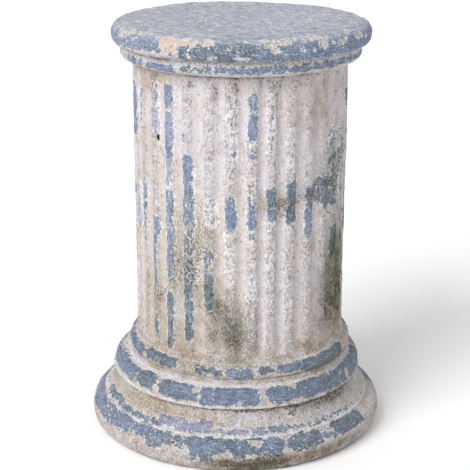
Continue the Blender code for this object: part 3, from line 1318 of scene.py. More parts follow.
    def measure_cracks(self) -> None:
        """Distance from the nearest crack, with a side, and how deep the groove is."""
        shape = self.angles.shape
        self.crack_near = np.full(shape, self.mark_reach)
        self.crack_side = np.full(shape, self.mark_reach)
        self.groove = np.zeros(shape)
        across = np.broadcast_to(self.places[None] * self.shaft.pitch, shape) + 1.2 * self.sway
        along = np.broadcast_to(self.heights[:, None], shape) + 0.8 * self.drop
        for crack in self.wear.cracks:
            for (rib_a, height_a), (rib_b, height_b) in zip(crack.points[:-1], crack.points[1:]):
                start = np.array([rib_a * self.shaft.pitch, height_a])
                run = np.array([rib_b * self.shaft.pitch, height_b]) - start
                length = float(np.hypot(*run))
                x = round_difference(across / self.shaft.pitch, rib_a) * self.shaft.pitch
                y = along - start[1]
                share = np.clip((x * run[0] + y * run[1]) / length**2, 0.0, 1.0)
                distance = np.hypot(x - share * run[0], y - share * run[1])
                side = (x * run[1] - y * run[0]) / length
                nearer = distance < self.crack_near
                self.crack_near = np.where(nearer, distance, self.crack_near)
                self.crack_side = np.where(nearer, side, self.crack_side)
                self.groove = np.maximum(self.groove, crack.depth * smooth_step(3.0, 0.4, distance))

    def measure_pinholes(self) -> None:
        """How far inside a small hole each point lies, and how deep the holes are."""
        shape = self.angles.shape
        self.hole = np.full(shape, -self.mark_reach)
        for pinhole in self.wear.pinholes:
            across = round_difference(self.places[None], pinhole.middle) * self.shaft.pitch
            along = np.broadcast_to(self.heights[:, None], shape) - pinhole.height
            reach = np.hypot(across / pinhole.half_width, along / pinhole.half_height)
            depth = (1.0 - reach) * min(pinhole.half_width, pinhole.half_height)
            self.hole = np.maximum(self.hole, depth)
            self.groove = np.maximum(self.groove, pinhole.depth * smooth_step(-1.6, 0.8, depth))

    def crest_share(self) -> Field:
        """How far each vertex lies on the crest of a rib or on a plain moulding.

        Returns:
            1 on them, 0 in the flutes.
        """
        from_flute = np.abs(self.places % 1.0 - 0.5)
        crest = smooth_step(0.235, 0.295, from_flute)
        return 1.0 - self.fluted * (1.0 - crest[None])

    def shaded_arris_share(self) -> Field:
        """How near each vertex lies to an arris, for the painted shade along the ribs.

        Returns:
            1 on the right-hand arris of each rib, the side away from the light, less on the left-hand one, 0
            away from them.
        """
        from_rib = (self.places + 0.5) % 1.0 - 0.5
        right = smooth_step(0.10, 0.02, np.abs(from_rib - 0.25))
        left = smooth_step(0.08, 0.02, np.abs(from_rib + 0.25))
        return self.fluted * (right + self.left_arris_shade * left)[None]

    def edge_wear(self) -> Field:
        """How rubbed each ring is: only the edges of the mouldings are.

        Returns:
            Shares from 0 to 1.
        """
        rubbed = np.zeros(len(self.heights))
        for height, width, strength in self.worn_heights:
            rubbed += strength * smooth_step(width, 0.3, np.abs(self.heights - height))
        return rubbed

    def top_share(self) -> Field:
        """1 on the top face, falling away over the rounding of the cap's edge."""
        on_cap = (self.zones == Zone.TOP.value) | (self.zones == Zone.CAP.value)
        return on_cap * smooth_step(self.cap.top - 8.5, self.cap.top - 0.6, self.heights)

    def damp_share(self) -> Field:
        """How much rising damp has stained each ring: most at the ground, none higher up the shaft."""
        heights, shares = zip(*self.damp)
        return np.interp(self.heights, heights, shares)

    def push_out(self) -> Field:
        """How far each vertex is pushed out along its normal by flutes, crust, chips and cracks.

        Returns:
            Distances, negative inwards, for each ring and place round it.
        """
        base = self.base
        uneven = 1.0 + 0.10 * Grain(60.0, 41).at(base) + 0.05 * Grain(18.0, 42).at(base)
        push = -self.fluted * self.shaft.flute_cut(self.places)[None] * uneven
        crest = self.crest_share()
        from_rib = np.abs((self.places + 0.5) % 1.0 - 0.5) / 0.225
        push -= self.fluted * self.crown * (np.clip(from_rib, 0.0, 1.15) ** 2.5)[None]
        push += self.wave * Grain(85.0, 1).at(base) + self.ripple * Grain(30.0, 2).at(base)
        lumps = 0.6 * Grain(9.0, 3).at(base) + 0.6 * Grain(4.6, 4).at(base)
        push += self.crust * lumps * (self.flute_crust + (1.0 - self.flute_crust) * crest)
        edge = smooth_step(0.10, 0.0, np.abs(np.abs(self.places % 1.0 - 0.5) - 0.275))
        bites = smooth_step(0.15, 0.75, Grain(8.0, 5).at(base)) + 0.35
        push -= self.fluted * edge[None] * bites * self.arris_wear
        return push - self.loss - self.groove

    def vertices(self) -> Field:
        """Every vertex of the mesh: the rings' points, then the middles of the top and the underside.

        Returns:
            Places in metres.
        """
        on_ground = self.zones == Zone.UNDERSIDE.value
        on_ground[-len(self.foot.underside_radii) - 1] = True
        quiet = np.where(on_ground, 0.0, 1.0)
        lift = 0.6 * Grain(70.0, 6).at(self.base) * (smooth_step(0.0, 20.0, self.heights) * quiet)[:, None]
        points = self.base_points(self.push_out() * quiet[:, None], lift)
        points[..., 2] = np.maximum(points[..., 2], 0.0)
        middles = np.array([[self.cap.shift, 0.0, self.cap.top], [0.0, 0.0, 0.0]])
        return np.concatenate([points.reshape(-1, 3), middles]) * MM

    def faces(self) -> list[tuple[int, ...]]:
        """Quads between the rings, and a fan at each end.

        Returns:
            The corners of each face, as numbers of vertices.
        """
        rows, columns = self.angles.shape
        last = rows * columns
        faces: list[tuple[int, ...]] = []
        for row in range(rows - 1):
            start = row * columns
            below = start + columns
            for column in range(columns):
                beside = (column + 1) % columns
                faces.append((start + column, below + column, below + beside, start + beside))
        for column in range(columns):
            beside = (column + 1) % columns
            faces.append((last, column, beside))
            faces.append((last + 1, last - columns + beside, last - columns + column))
        return faces

    def attributes(self) -> dict[str, tuple[Field, float]]:
        """What the finish reads at each vertex.

        Returns:
            For each name, the vertices' values and the value that the two middles take.
        """
        by_ring = {
            "moulding": (1.0 - self.on_shaft, 1.0),
            "top_face": (self.top_share(), 1.0),
            # The creases' painted shade, with some dirt.
            "crease_shade_and_dirt": (self.crease_shade_and_dirt, 0.0),
            "worn_edge": (self.worn_edge, 0.0),
            "film": (self.damp_share(), 0.0),
        }
        spread = {
            name: (np.broadcast_to(ring[:, None], self.angles.shape), middle)
            for name, (ring, middle) in by_ring.items()
        }
        return {
            "paint": (self.paint, self.mark_reach),
            "tone": (self.tone, -0.5),
            "paint_wear": (self.paint_wear, 0.3),
            "crest": (self.crest_share(), 1.0),
            # Where painted shade darkens the arrises.
            "arris": (self.shaded_arris_share(), 0.0),
            "clay": (self.clay, -self.mark_reach),
            "crack_near": (self.crack_near, self.mark_reach),
            "crack_side": (self.crack_side, self.mark_reach),
            "hole": (self.hole, -self.mark_reach),
            **spread,
            **{kind.value: (strength, 0.0) for kind, strength in self.dirt.items()},
        }

    def build(self) -> bpy.types.Object:
        """Makes the mesh object, with its attributes and its unrolled map.

        Returns:
            The closed mesh object.
        """
        mesh = bpy.data.meshes.new("column_surface")
        mesh.from_pydata(self.vertices().tolist(), [], self.faces())
        mesh.shade_smooth()
        for name, (values, middle) in self.attributes().items():
            layer = mesh.attributes.new(name, "FLOAT", "POINT")
            layer.data.foreach_set("value", np.append(values.ravel(), [middle, middle]).astype(np.float32))
        self.unroll(mesh)
        mesh.validate()
        obj = bpy.data.objects.new("column_surface", mesh)
        bpy.context.scene.collection.objects.link(obj)
        return obj

    def unroll(self, mesh: bpy.types.Mesh) -> None:
        """Adds a map that unrolls the surface flat.

        Args:
            mesh: The mesh to add it to.
        """
        rows, columns = self.angles.shape
        corners = np.empty(len(mesh.loops), dtype=np.int64)
        mesh.loops.foreach_get("vertex_index", corners)
        row, column = np.divmod(corners, columns)
        across = column / columns
        total = self.lengths[-1] + self.radii[-1] + self.radii[0]
        down = np.append(self.lengths + self.radii[0], 0.0)[np.minimum(row, rows)] / total
        down = np.where(corners == rows * columns + 1, 1.0, down)
        sides = np.repeat(np.arange(len(mesh.polygons)), [len(face.vertices) for face in mesh.polygons])
        low = np.full(len(mesh.polygons), 2.0)
        rim = corners < rows * columns
        np.minimum.at(low, sides[rim], across[rim])
        high = np.zeros(len(mesh.polygons))
        np.maximum.at(high, sides[rim], across[rim])
        wraps = high - low > 0.5
        across = np.where(wraps[sides] & (across < 0.5), across + 1.0, across)
        middle = (np.where(wraps, high + 1.0 / columns, high) + np.where(wraps, high, low)) / 2
        across = np.where(rim, across, middle[sides])
        layer = mesh.uv_layers.new(name="OFBake")
        layer.data.foreach_set("uv", np.stack([across, 1.0 - down], axis=1).astype(np.float32).ravel())


@dataclass(frozen=True)
class ClayFinish:
    """The fired clay under the paints: dusty, freshly broken, and its darker grains."""

    pale: Hue = (231, 213, 204)
    peach: Hue = (219, 195, 180)
    brown: Hue = (176, 150, 130)


@dataclass(frozen=True)
class LimewashFinish:
    """The crusty limewash that covers most of the column.

    The hues of the foot are the blotches that rising damp has left there.
    """

    cool: Hue = (226, 222, 230)
    warm: Hue = (227, 217, 213)
    grey: Hue = (186, 182, 188)
    # Painted shade in the flutes, partly grime settled there.
    flute: Hue = (190, 180, 181)
    under: Hue = (198, 189, 188)
    pit: Hue = (118, 110, 108)
    fleck: Hue = (246, 244, 246)
    tan: Hue = (198, 184, 158)
    foot_tan: Hue = (198, 180, 152)
    foot_olive: Hue = (152, 150, 128)
    foot_pink: Hue = (226, 210, 204)
    foot_brown: Hue = (124, 104, 88)
    fleck_size: float = 4.0
    roughness: float = 0.9


@dataclass(frozen=True)
class BluePaintFinish:
    """The worn blue-grey paint.

    It goes from lavender, where the sun has bleached it, to stained teal. Dust is the chalk on it.
    """

    lavender: Hue = (172, 174, 198)
    slate: Hue = (132, 149, 180)
    teal: Hue = (110, 128, 139)
    deep: Hue = (86, 104, 134)
    dust: Hue = (224, 226, 236)
    top_dust: Hue = (201, 201, 218)
    top_green: Hue = (182, 191, 199)
    fleck_size: float = 3.2
    thickness: float = 0.5
    roughness: float = 0.8


@dataclass(frozen=True)
class DirtAndShadeFinish:
    """Grime, moss and rust, the tint of damp, the dark insides of cracks, and painted shade along the
    arrises, in the creases and inside the holes.
    """

    grime: Hue = (84, 78, 62)
    moss: Hue = (128, 126, 84)
    rust: Hue = (204, 160, 130)
    film: Hue = (214, 207, 194)
    sand: Hue = (150, 147, 128)
    # Painted shade along the right-hand arrises.
    shade: Hue = (96, 96, 108)
    # Also painted shade in the deepest creases.
    crack: Hue = (58, 52, 44)
    # Painted shade inside the small holes.
    hole: Hue = (14, 12, 10)
    grime_size: float = 3.2


def colour(hue: Hue) -> tuple[float, float, float, float]:
    """A colour for a shader.

    Args:
        hue: Its display values of 0 to 255.

    Returns:
        Its linear values of 0 to 1, and a full alpha.
    """
    shares = [part / 255 for part in hue]
    linear = [share / 12.92 if share <= 0.04045 else ((share + 0.055) / 1.055) ** 2.4 for share in shares]
    return (*linear, 1.0)


Socket = bpy.types.NodeSocket


class Finishing:
    """Makes the nodes of a finish."""

    def __init__(self, name: str) -> None:
        """Starts an empty finish with its output.

        Args:
            name: The material's name.
        """
        self.material = bpy.data.materials.new(name)
        self.material.use_nodes = True
        self.tree = self.material.node_tree
        self.shader = self.tree.nodes["Principled BSDF"]
        self.coordinates = self.tree.nodes.new("ShaderNodeTexCoord").outputs["Object"]

    def feed(self, socket: Socket, value: Socket | float | tuple[float, ...]) -> None:
        """Links or sets a socket.

        Args:
            socket: The socket to feed.
            value: Another socket, or a plain value.
        """
        if isinstance(value, bpy.types.NodeSocket):
            self.tree.links.new(value, socket)
        else:
            socket.default_value = value

    def maths(self, operation: str, first: Socket | float, second: Socket | float = 0.0) -> Socket:
        """A sum of one or two values.

        Args:
            operation: The node's operation.
            first: The first value.
            second: The second value.

        Returns:
            The result.
        """
        node = self.tree.nodes.new("ShaderNodeMath")
        node.operation = operation
        self.feed(node.inputs[0], first)
        self.feed(node.inputs[1], second)
        return node.outputs[0]

    def plus(self, *values: Socket | float) -> Socket:
        """The sum of several values."""
        return reduce(lambda total, value: self.maths("ADD", total, value), values)

    def times(self, *values: Socket | float) -> Socket:
        """The product of several values."""
        return reduce(lambda total, value: self.maths("MULTIPLY", total, value), values)

    def rise(
        self, value: Socket, low: float | Socket, high: float | Socket, bottom: float = 0.0, top: float = 1.0
    ) -> Socket:
        """An even rise between two values.

        Args:
            value: The value to judge.
            low: Where the rise starts.
            high: Where it ends.
            bottom: The result below low.
            top: The result above high.

        Returns:
            The result.
        """
        node = self.tree.nodes.new("ShaderNodeMapRange")
        node.interpolation_type = "SMOOTHSTEP"
        for slot, given in zip(range(5), (value, low, high, bottom, top)):
            self.feed(node.inputs[slot], given)
        return node.outputs["Result"]

    def stored(self, name: str) -> Socket:
        """A value that the mesh holds at each vertex.

        Args:
            name: The name that the mesh holds it under.

        Returns:
            The value.
        """
        node = self.tree.nodes.new("ShaderNodeAttribute")
        node.attribute_name = name
        return node.outputs["Fac"]

    def stretched(self, stretch: tuple[float, float, float]) -> Socket:
        """The coordinates, scaled along each axis.

        Args:
            stretch: The scales.

        Returns:
            The scaled coordinates.
        """
        node = self.tree.nodes.new("ShaderNodeVectorMath")
        node.operation = "MULTIPLY"
        self.feed(node.inputs[0], self.coordinates)
        node.inputs[1].default_value = stretch
        return node.outputs["Vector"]

    def noise(
        self, size: float, detail: float = 3.0, rough: float = 0.6, stretch: tuple[float, ...] = (1, 1, 1)
    ) -> Socket:
        """Cloudy noise.

        Args:
            size: Size of its clouds.
            detail: How many finer layers it has.
            rough: How strong the finer layers are.
            stretch: Scale of the coordinates along each axis.

        Returns:
            Values around a half.
        """
        node = self.tree.nodes.new("ShaderNodeTexNoise")
        self.feed(node.inputs["Vector"], self.stretched(stretch))
        node.inputs["Scale"].default_value = 1.0 / (size * MM)
        node.inputs["Detail"].default_value = detail
        node.inputs["Roughness"].default_value = rough
        return node.outputs["Fac"]

    def cells(self, size: float) -> Socket:
        """Distances from the edges in a pattern of cells.

        Args:
            size: Size of the cells.

        Returns:
            Distances as shares of the cell's size.
        """
        node = self.tree.nodes.new("ShaderNodeTexVoronoi")
        node.feature = "DISTANCE_TO_EDGE"
        self.feed(node.inputs["Vector"], self.coordinates)
        node.inputs["Scale"].default_value = 1.0 / (size * MM)
        return node.outputs["Distance"]

    def mix(
        self, share: Socket | float, under: Socket | Hue, over: Socket | Hue, blend: str = "MIX"
    ) -> Socket:
        """One colour laid over another.

        Args:
            share: How far it covers.
            under: The colour below.
            over: The colour above.
            blend: How it is laid on.

        Returns:
            The mixed colour.
        """
        node = self.tree.nodes.new("ShaderNodeMix")
        node.data_type = "RGBA"
        node.blend_type = blend
        self.feed(node.inputs[0], share)
        for slot, given in ((6, under), (7, over)):
            self.feed(node.inputs[slot], colour(given) if isinstance(given, tuple) else given)
        return node.outputs[2]


@dataclass
class WeatheredFinish(Finishing):
    """The column's whole finish, one layer over the other, from the bare clay up.

    Attributes:
        clay: The fired clay.
        limewash: The limewash over it.
        paint: The blue paint over that.
        dirt: What has settled on them, and the hues of the painted shade.
    """

    clay: ClayFinish = field(default_factory=ClayFinish)
    limewash: LimewashFinish = field(default_factory=LimewashFinish)
    paint: BluePaintFinish = field(default_factory=BluePaintFinish)
    dirt: DirtAndShadeFinish = field(default_factory=DirtAndShadeFinish)

    def __post_init__(self) -> None:
        """Starts the finish."""
        super().__init__(SLOT)

    def build(self) -> bpy.types.Material:
        """Makes the material.

        Returns:
            The finished material.
        """
        self.share_noises()
        surface = self.lay_limewash()
        surface = self.bare_clay(surface)
        surface = self.lay_paint(surface)
        surface = self.settle_dirt_and_shade(surface)
        self.feed(self.shader.inputs["Base Color"], surface)
        rough = self.rise(self.painted, 0.0, 1.0, self.limewash.roughness, self.paint.roughness)
        self.feed(self.shader.inputs["Roughness"], rough)
        self.shader.inputs["Specular IOR Level"].default_value = 0.3
        self.raise_relief()
        return self.material

    def share_noises(self) -> None:
        """Makes the noises that several layers read."""
        self.broad = self.noise(42.0, 4.0, 0.55)
        self.middle = self.noise(13.0, 4.0)
        self.fine = self.noise(self.limewash.fleck_size)
        self.grit = self.noise(1.7, 2.0)
        self.ragged = self.times(self.plus(self.noise(6.5, 4.0, 0.68), -0.5), 13.0)
        self.crest = self.stored("crest")

    def lay_limewash(self) -> Socket:
        """The limewash, cool and warm, with flecks on the ribs, streaks in the flutes, and the flutes
        darkened with painted shade.

        Returns:
            Its colour.
        """
        wash = self.limewash
        base = self.mix(self.rise(self.broad, 0.38, 0.62), wash.cool, wash.warm)
        base = self.mix(self.times(self.rise(self.middle, 0.50, 0.72), 0.5), base, wash.grey)
        streak = self.noise(4.5, 3.0, 0.6, (1, 1, 0.09))
        base = self.mix(self.times(self.rise(streak, 0.45, 0.75), 0.4), base, wash.grey)
        tan = self.times(self.stored("tan"), self.rise(self.middle, 0.25, 0.6, 0.4, 1.0))
        base = self.mix(tan, base, wash.tan)
        rough = self.rise(self.crest, 0.0, 1.0, 0.4, 1.0)
        # The flutes are darkened towards the flute hue: painted shade, partly settled grime.
        base = self.mix(self.rise(self.crest, 1.0, 0.0, 0.0, 0.5), base, wash.flute)
        rough = self.times(rough, self.rise(self.broad, 0.36, 0.54, 0.5, 1.0))
        flaky = self.times(rough, self.rise(self.stored("edge"), 0.0, 0.5, 0.3, 1.0))
        self.flake = self.rise(self.noise(4.8, 3.0, 0.66, (1, 1, 0.6)), 0.47, 0.52)
        base = self.mix(self.times(self.maths("SUBTRACT", 1.0, self.flake), flaky, 0.5), base, wash.under)
        rim = self.maths("ABSOLUTE", self.plus(self.noise(6.0, 3.0, 0.62), -0.5))
        self.crinkle = self.times(self.rise(rim, 0.022, 0.006), self.rise(self.middle, 0.48, 0.58), rough)
        base = self.mix(self.times(self.crinkle, 0.6), base, wash.pit)
        base = self.mottle_foot(base)
        pits = self.times(self.rise(self.grit, 0.47, 0.37), rough, 0.8)
        base = self.mix(pits, base, wash.pit)
        chalk = self.noise(2.9, 3.0, 0.7, (1, 1, 0.6))
        chalky = self.plus(self.times(flaky, 0.5), self.times(rough, 0.3))
        fleck = self.times(self.rise(chalk, 0.50, 0.56), chalky)
        base = self.mix(fleck, base, wash.fleck)
        nicks = self.times(self.rise(self.noise(2.2, 2.0, 0.6, (1, 1, 0.55)), 0.42, 0.36), flaky, 0.8)
        base = self.mix(nicks, base, wash.pit)
        sand = self.times(self.stored("sand"), self.rise(self.noise(2.3, 2.0), 0.48, 0.55))
        base = self.mix(sand, base, self.dirt.sand)
        rubbed = self.times(self.stored("worn_edge"), self.rise(self.fine, 0.36, 0.5), 0.85)
        return self.mix(rubbed, base, wash.fleck)

    def mottle_foot(self, surface: Socket) -> Socket:
        """Tan, olive and pink blotches with brown specks, where damp has risen from the ground.

        Args:
            surface: The colour so far.

        Returns:
            The mottled colour.
        """
        wash = self.limewash
        film = self.stored("film")
        tan = self.times(film, self.rise(self.noise(16.0, 4.0, 0.62), 0.46, 0.58), 0.85)
        surface = self.mix(tan, surface, wash.foot_tan)
        self.olive = self.rise(self.noise(11.0, 4.0, 0.64), 0.52, 0.62)
        surface = self.mix(self.times(film, self.olive, 0.7), surface, wash.foot_olive)
        pink = self.times(film, self.rise(self.noise(9.0), 0.53, 0.62), 0.7)
        surface = self.mix(pink, surface, wash.foot_pink)
        specks = self.times(film, self.rise(self.noise(2.6, 3.0, 0.7), 0.56, 0.66), 0.6)
        return self.mix(specks, surface, wash.foot_brown)

    def bare_clay(self, surface: Socket) -> Socket:
        """The clay that shows where chips have taken everything off.

        Args:
            surface: The colour so far.

        Returns:
            The colour with the clay.
        """
        body = self.mix(self.rise(self.fine, 0.35, 0.7), self.clay.pale, self.clay.peach)
        body = self.mix(self.times(self.rise(self.grit, 0.55, 0.75), 0.4), body, self.clay.brown)
        edge = self.plus(self.stored("clay"), self.ragged)
        return self.mix(self.rise(edge, -0.3, 0.6), surface, body)

    def lay_paint(self, surface: Socket) -> Socket:
        """The blue paint, with ragged edges and flecks worn through.

        Args:
            surface: The colour so far.

        Returns:
            The colour with the paint.
        """
        self.worn = self.stored("paint_wear")
        self.moulding = self.stored("moulding")
        self.top = self.stored("top_face")
        self.streak = self.noise(3.0, 3.0, 0.65, (1, 1, 0.2))
        blue = self.chalk_top(self.scuff_blue(self.age_blue()))
        grain = self.times(self.plus(self.grit, -0.5), 3.5)
        wander = self.times(self.plus(self.middle, -0.5), self.moulding, 9.0)
        edge = self.plus(self.stored("paint"), self.ragged, grain, wander)
        halo = self.times(self.rise(edge, -2.6, -0.6), self.rise(self.fine, 0.42, 0.54), 0.7)
        surface = self.mix(halo, surface, self.limewash.fleck)
        self.painted = self.keep_paint(edge)
        return self.mix(self.painted, surface, blue)

    def age_blue(self) -> Socket:
        """The paint's own colour, from bleached lavender to stained teal, with darker spots.

        Returns:
            Its colour.
        """
        paint = self.paint
        drift = self.plus(self.times(self.middle, 1.8), self.times(self.broad, 1.6), -1.7)
        tone = self.plus(self.stored("tone"), drift)
        blue = self.mix(self.rise(tone, -1.0, 0.0), paint.lavender, paint.slate)
        blue = self.mix(self.rise(tone, 0.0, 1.2), blue, paint.teal)
        blue = self.mix(self.times(self.rise(self.fine, 0.50, 0.66), 0.6), blue, paint.deep)
        return self.mix(self.times(self.rise(self.grit, 0.50, 0.66), 0.5), blue, paint.deep)

    def scuff_blue(self, blue: Socket) -> Socket:
        """Brush marks on the mouldings, scuffs, chalky dust and the stain of damp.

        Args:
            blue: The paint's colour so far.

        Returns:
            The scuffed colour.
        """
        paint = self.paint
        brushed = self.noise(2.8, 3.0, 0.62, (0.28, 0.28, 1.3))
        blue = self.mix(self.times(self.moulding, self.rise(brushed, 0.56, 0.44), 0.35), blue, paint.deep)
        blue = self.mix(self.times(self.moulding, self.rise(brushed, 0.55, 0.68), 0.35), blue, paint.dust)
        scuffed = self.times(self.rise(self.streak, 0.45, 0.68), self.rise(self.worn, 0.0, 0.5, 0.2, 0.6))
        scuffed = self.times(scuffed, self.rise(self.moulding, 0.0, 1.0, 1.0, 0.5))
        blue = self.mix(scuffed, blue, paint.dust)
        film = self.stored("film")
        dust = self.rise(self.noise(2.4, 3.0, 0.7), 0.56, 0.64)
        blue = self.mix(self.times(dust, self.rise(film, 0.0, 0.6, 0.7, 0.3)), blue, paint.dust)
        stained = self.times(film, self.olive, self.rise(self.fine, 0.35, 0.6), 0.5)
        return self.mix(stained, blue, self.limewash.foot_olive)

    def chalk_top(self, blue: Socket) -> Socket:
        """The chalky veil, strokes and specks on the top face.

        Args:
            blue: The paint's colour so far.

        Returns:
            The chalky colour.
        """
        paint = self.paint
        veil = self.mix(self.rise(self.broad, 0.48, 0.62), paint.top_dust, paint.top_green)
        blue = self.mix(self.times(self.top, self.rise(self.middle, 0.3, 0.6, 0.4, 0.85)), blue, veil)
        strokes = self.rise(self.noise(5.2, 4.0, 0.7, (0.42, 0.9, 1.0)), 0.51, 0.58)
        blue = self.mix(self.times(self.top, strokes, 0.65), blue, paint.slate)
        pale = self.rise(self.noise(4.4, 3.0, 0.7, (0.42, 1.0, 1.0)), 0.53, 0.58)
        pale = self.times(self.top, pale, self.rise(self.middle, 0.40, 0.58, 0.35, 0.95))
        blue = self.mix(pale, blue, paint.dust)
        chalky = self.rise(self.noise(5.0, 2.0, 0.6, (0.3, 1.0, 1.0)), 0.60, 0.63)
        blue = self.mix(self.times(self.top, chalky, 0.9), blue, self.limewash.fleck)
        specks = self.rise(self.noise(3.4, 2.0, 0.6, (0.5, 0.8, 1.0)), 0.60, 0.63)
        specks = self.times(self.top, specks, self.rise(self.middle, 0.42, 0.56, 0.25, 1.0))
        return self.mix(specks, blue, self.limewash.fleck)

    def keep_paint(self, edge: Socket) -> Socket:
        """Where paint is left: inside the patches, less the flecks and scrapes that have worn through.

        Args:
            edge: How far inside a patch's ragged edge it is.

        Returns:
            1 where paint is left, 0 where it has gone.
        """
        size = self.paint.fleck_size
        flecks = self.noise(size, 3.0, 0.62, (1, 1, 0.5))
        spots = self.noise(size, 3.0, 0.62, (0.7, 0.7, 1.0))
        flecks = self.plus(flecks, self.times(self.moulding, self.maths("SUBTRACT", spots, flecks)))
        streaky = self.rise(self.stored("tone"), -0.45, -0.9)
        flecks = self.plus(flecks, self.times(streaky, self.maths("SUBTRACT", self.streak, flecks)))
        worn_at = self.rise(self.worn, 0.0, 1.0, 0.32, 0.68)
        near_edge = self.rise(edge, 4.0, 0.0, 0.0, 0.07)
        through = self.maths("SUBTRACT", self.maths("SUBTRACT", flecks, worn_at), near_edge)
        kept = self.times(self.rise(edge, -0.1, 0.5), self.rise(through, -0.02, 0.03))
        dashes = self.rise(self.noise(3.8, 3.0, 0.66, (0.4, 1.0, 1.0)), 0.57, 0.61)
        scraped = self.times(self.top, dashes, self.rise(self.middle, 0.44, 0.56, 0.15, 0.9))
        return self.times(kept, self.maths("SUBTRACT", 1.0, scraped))

    def settle_dirt_and_shade(self, surface: Socket) -> Socket:
        """Rust, moss and grime, painted shade in the creases and along the right-hand arrises, then the
        cracks and holes.

        Args:
            surface: The colour so far.

        Returns:
            The finished colour.
        """
        dirt = self.dirt
        film = self.times(self.stored("film"), self.rise(self.middle, 0.25, 0.65, 0.2, 0.55))
        film = self.times(film, self.maths("SUBTRACT", 1.0, self.stored("worn_edge")))
        surface = self.mix(film, surface, dirt.film, "MULTIPLY")
        rust = self.times(self.stored("rust"), self.rise(self.middle, 0.3, 0.6, 0.25, 0.9))
        surface = self.mix(rust, surface, dirt.rust, "MULTIPLY")
        moss = self.times(self.stored("moss"), self.rise(self.middle, 0.25, 0.65, 0.35, 0.95))
        surface = self.mix(moss, surface, dirt.moss, "MULTIPLY")
        # The creases add painted shade to the grime: dark dots and a broad darkening.
        settled = self.plus(self.stored("grime"), self.times(self.stored("crease_shade_and_dirt"), 0.55))
        speckle = self.noise(dirt.grime_size, 4.0, 0.68)
        level = self.rise(settled, 0.0, 1.0, 0.74, 0.46)
        dots = self.rise(self.maths("SUBTRACT", speckle, level), -0.02, 0.05)
        cover = self.times(dots, self.rise(settled, 0.02, 0.3), 0.8)
        surface = self.mix(cover, surface, dirt.grime)
        surface = self.mix(self.times(self.rise(settled, 0.0, 1.2), 0.3), surface, dirt.grime)
        stray = self.times(self.rise(self.noise(2.8, 2.0), 0.63, 0.69), 0.6)
        surface = self.mix(stray, surface, dirt.grime)
        # Painted shade along the right-hand arrises, the side away from the light, with some dirt.
        broken = self.rise(self.noise(5.0, 3.0, 0.65), 0.48, 0.60)
        shade = self.times(self.rise(self.stored("arris"), 0.25, 0.8), broken, self.stored("edge"), 0.75)
        surface = self.mix(shade, surface, dirt.shade)
        # Painted shade in the deepest creases, in the crack colour.
        crease = self.rise(self.stored("crease_shade_and_dirt"), 0.5, 0.95)
        crease = self.times(crease, self.rise(self.middle, 0.38, 0.54, 0.2, 1.0), 0.66)
        surface = self.mix(crease, surface, dirt.crack)
        return self.open_cracks(surface)

    def open_cracks(self, surface: Socket) -> Socket:
        """Dark cracks with pale lips, the crazed skin, and the small holes, painted black as shade.

        Args:
            surface: The colour so far.

        Returns:
            The finished colour.
        """
        jitter = self.plus(self.grit, -0.5)
        across = self.maths("ABSOLUTE", self.plus(self.stored("crack_side"), self.times(jitter, 1.4)))
        near = self.rise(self.stored("crack_near"), 3.4, 2.2)
        lip = self.times(near, self.rise(across, 1.9, 0.9), 0.4)
        surface = self.mix(lip, surface, self.limewash.fleck)
        broken = self.rise(self.middle, 0.3, 0.5, 0.35, 1.0)
        self.crack = self.times(near, self.rise(across, 0.85, 0.35), broken)
        surface = self.mix(self.times(self.crack, 0.85), surface, self.dirt.crack)
        web = self.rise(self.cells(8.0), 0.09, 0.03)
        crazed = self.times(self.rise(self.stored("craze"), 0.25, 0.7), self.rise(self.middle, 0.4, 0.55))
        self.web = self.times(web, crazed)
        surface = self.mix(self.times(self.web, 0.85), surface, self.limewash.warm)
        # The holes are painted near black: painted shade inside them.
        holes = self.rise(self.plus(self.stored("hole"), self.times(jitter, 1.2)), -0.3, 0.4)
        return self.mix(holes, surface, self.dirt.hole)

    def raise_relief(self) -> None:
        """The fine relief: crust on the ribs, the paint's thickness, cracks and pores."""
        rough = self.rise(self.crest, 0.0, 1.0, 1.2, 4.2)
        crust = self.times(self.plus(self.fine, self.times(self.grit, 0.6), -0.8), rough)
        skin = self.times(self.painted, self.paint.thickness)
        cut = self.plus(self.times(self.crack, -1.2), self.times(self.crinkle, -0.5))
        flakes = self.times(self.plus(self.flake, -0.5), self.rise(self.crest, 0.0, 1.0, 0.15, 0.6))
        bump = self.tree.nodes.new("ShaderNodeBump")
        bump.inputs["Strength"].default_value = 1.0
        bump.inputs["Distance"].default_value = MM
        self.feed(bump.inputs["Height"], self.plus(crust, skin, cut, flakes, self.times(self.web, 0.4)))
        self.feed(self.shader.inputs["Normal"], bump.outputs["Normal"])


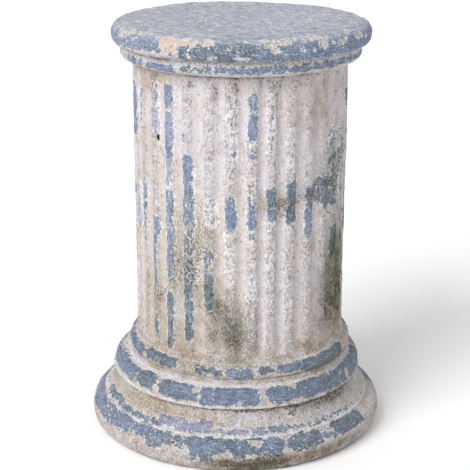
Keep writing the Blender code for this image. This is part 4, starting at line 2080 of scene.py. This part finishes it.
@dataclass
class Studio:
    """The pale floor, the soft light and the camera. Its lengths are in metres.

    Attributes:
        floor_half: Half the floor's width.
        floor_hue: Its colour.
        sky_strength: How bright the sky is.
        key_strength: How bright the soft key light is.
        key_softness_degrees: How wide it looks, which softens its shadow.
        key_from: The direction that it comes from.
        camera_place: Where the camera stands.
        camera_pitch_degrees: How far it looks down.
        lens_pixels: Its focal length, in pixels of the picture.
        picture_pixels: The picture's width.
        sensor_width: Its sensor's width, in the camera's own millimetres.
    """

    floor_half: float = 20.0
    floor_hue: Hue = (252, 252, 252)
    sky_strength: float = 0.66
    key_strength: float = 2.35
    key_softness_degrees: float = 36.0
    key_from: tuple[float, float, float] = (-1.65, -1.75, 1.8)
    camera_place: tuple[float, float, float] = (-0.0009, -1.8069, 0.84873)
    camera_pitch_degrees: float = 17.87
    lens_pixels: float = 1352.0
    picture_pixels: float = 470.0
    sensor_width: float = 36.0

    def build(self) -> None:
        """Makes everything in the studio."""
        self.lay_floor()
        self.set_light()
        self.set_camera()

    def lay_floor(self) -> None:
        """A wide pale floor that fills the view."""
        half = self.floor_half
        mesh = bpy.data.meshes.new("studio_floor")
        corners = [(-half, -half, 0), (half, -half, 0), (half, half, 0), (-half, half, 0)]
        mesh.from_pydata(corners, [], [(0, 1, 2, 3)])
        floor = bpy.data.objects.new("studio_floor", mesh)
        bpy.context.scene.collection.objects.link(floor)
        material = bpy.data.materials.new("pale_floor")
        material.use_nodes = True
        shader = material.node_tree.nodes["Principled BSDF"]
        shader.inputs["Base Color"].default_value = colour(self.floor_hue)
        shader.inputs["Roughness"].default_value = 0.9
        shader.inputs["Specular IOR Level"].default_value = 0.0
        mesh.materials.append(material)

    def set_light(self) -> None:
        """Soft light from the upper left, and an even pale sky."""
        world = bpy.data.worlds.new("studio_sky")
        world.use_nodes = True
        world.node_tree.nodes["Background"].inputs["Color"].default_value = (1.0, 1.0, 1.0, 1.0)
        world.node_tree.nodes["Background"].inputs["Strength"].default_value = self.sky_strength
        bpy.context.scene.world = world
        key = bpy.data.lights.new("soft_key", "SUN")
        key.energy = self.key_strength
        key.angle = math.radians(self.key_softness_degrees)
        lamp = bpy.data.objects.new("soft_key", key)
        lamp.rotation_euler = Vector(self.key_from).to_track_quat("Z", "Y").to_euler()
        bpy.context.scene.collection.objects.link(lamp)
        bpy.context.scene.view_settings.view_transform = "Standard"

    def set_camera(self) -> None:
        """The camera, at the photograph's place and angle."""
        camera = bpy.data.cameras.new("camera")
        camera.sensor_width = self.sensor_width
        camera.lens = self.lens_pixels / self.picture_pixels * self.sensor_width
        obj = bpy.data.objects.new("camera", camera)
        obj.location = self.camera_place
        obj.rotation_euler = (math.radians(90.0 - self.camera_pitch_degrees), 0.0, 0.0)
        bpy.context.scene.collection.objects.link(obj)
        bpy.context.scene.camera = obj


def main() -> None:
    """Builds the studio and the column, and reports each piece."""
    logging.basicConfig(level=logging.INFO, format="%(name)s: %(message)s")
    Studio().build()
    LOG.info("studio: floor, light and camera")
    surface = ColumnSurface(Wear()).build()
    surface.data.materials.append(WeatheredFinish().build())
    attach(surface, BODY)
    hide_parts(NODE)
    LOG.info("%s: %d faces", surface.name, len(surface.data.polygons))


if __name__ == "__main__":
    main()
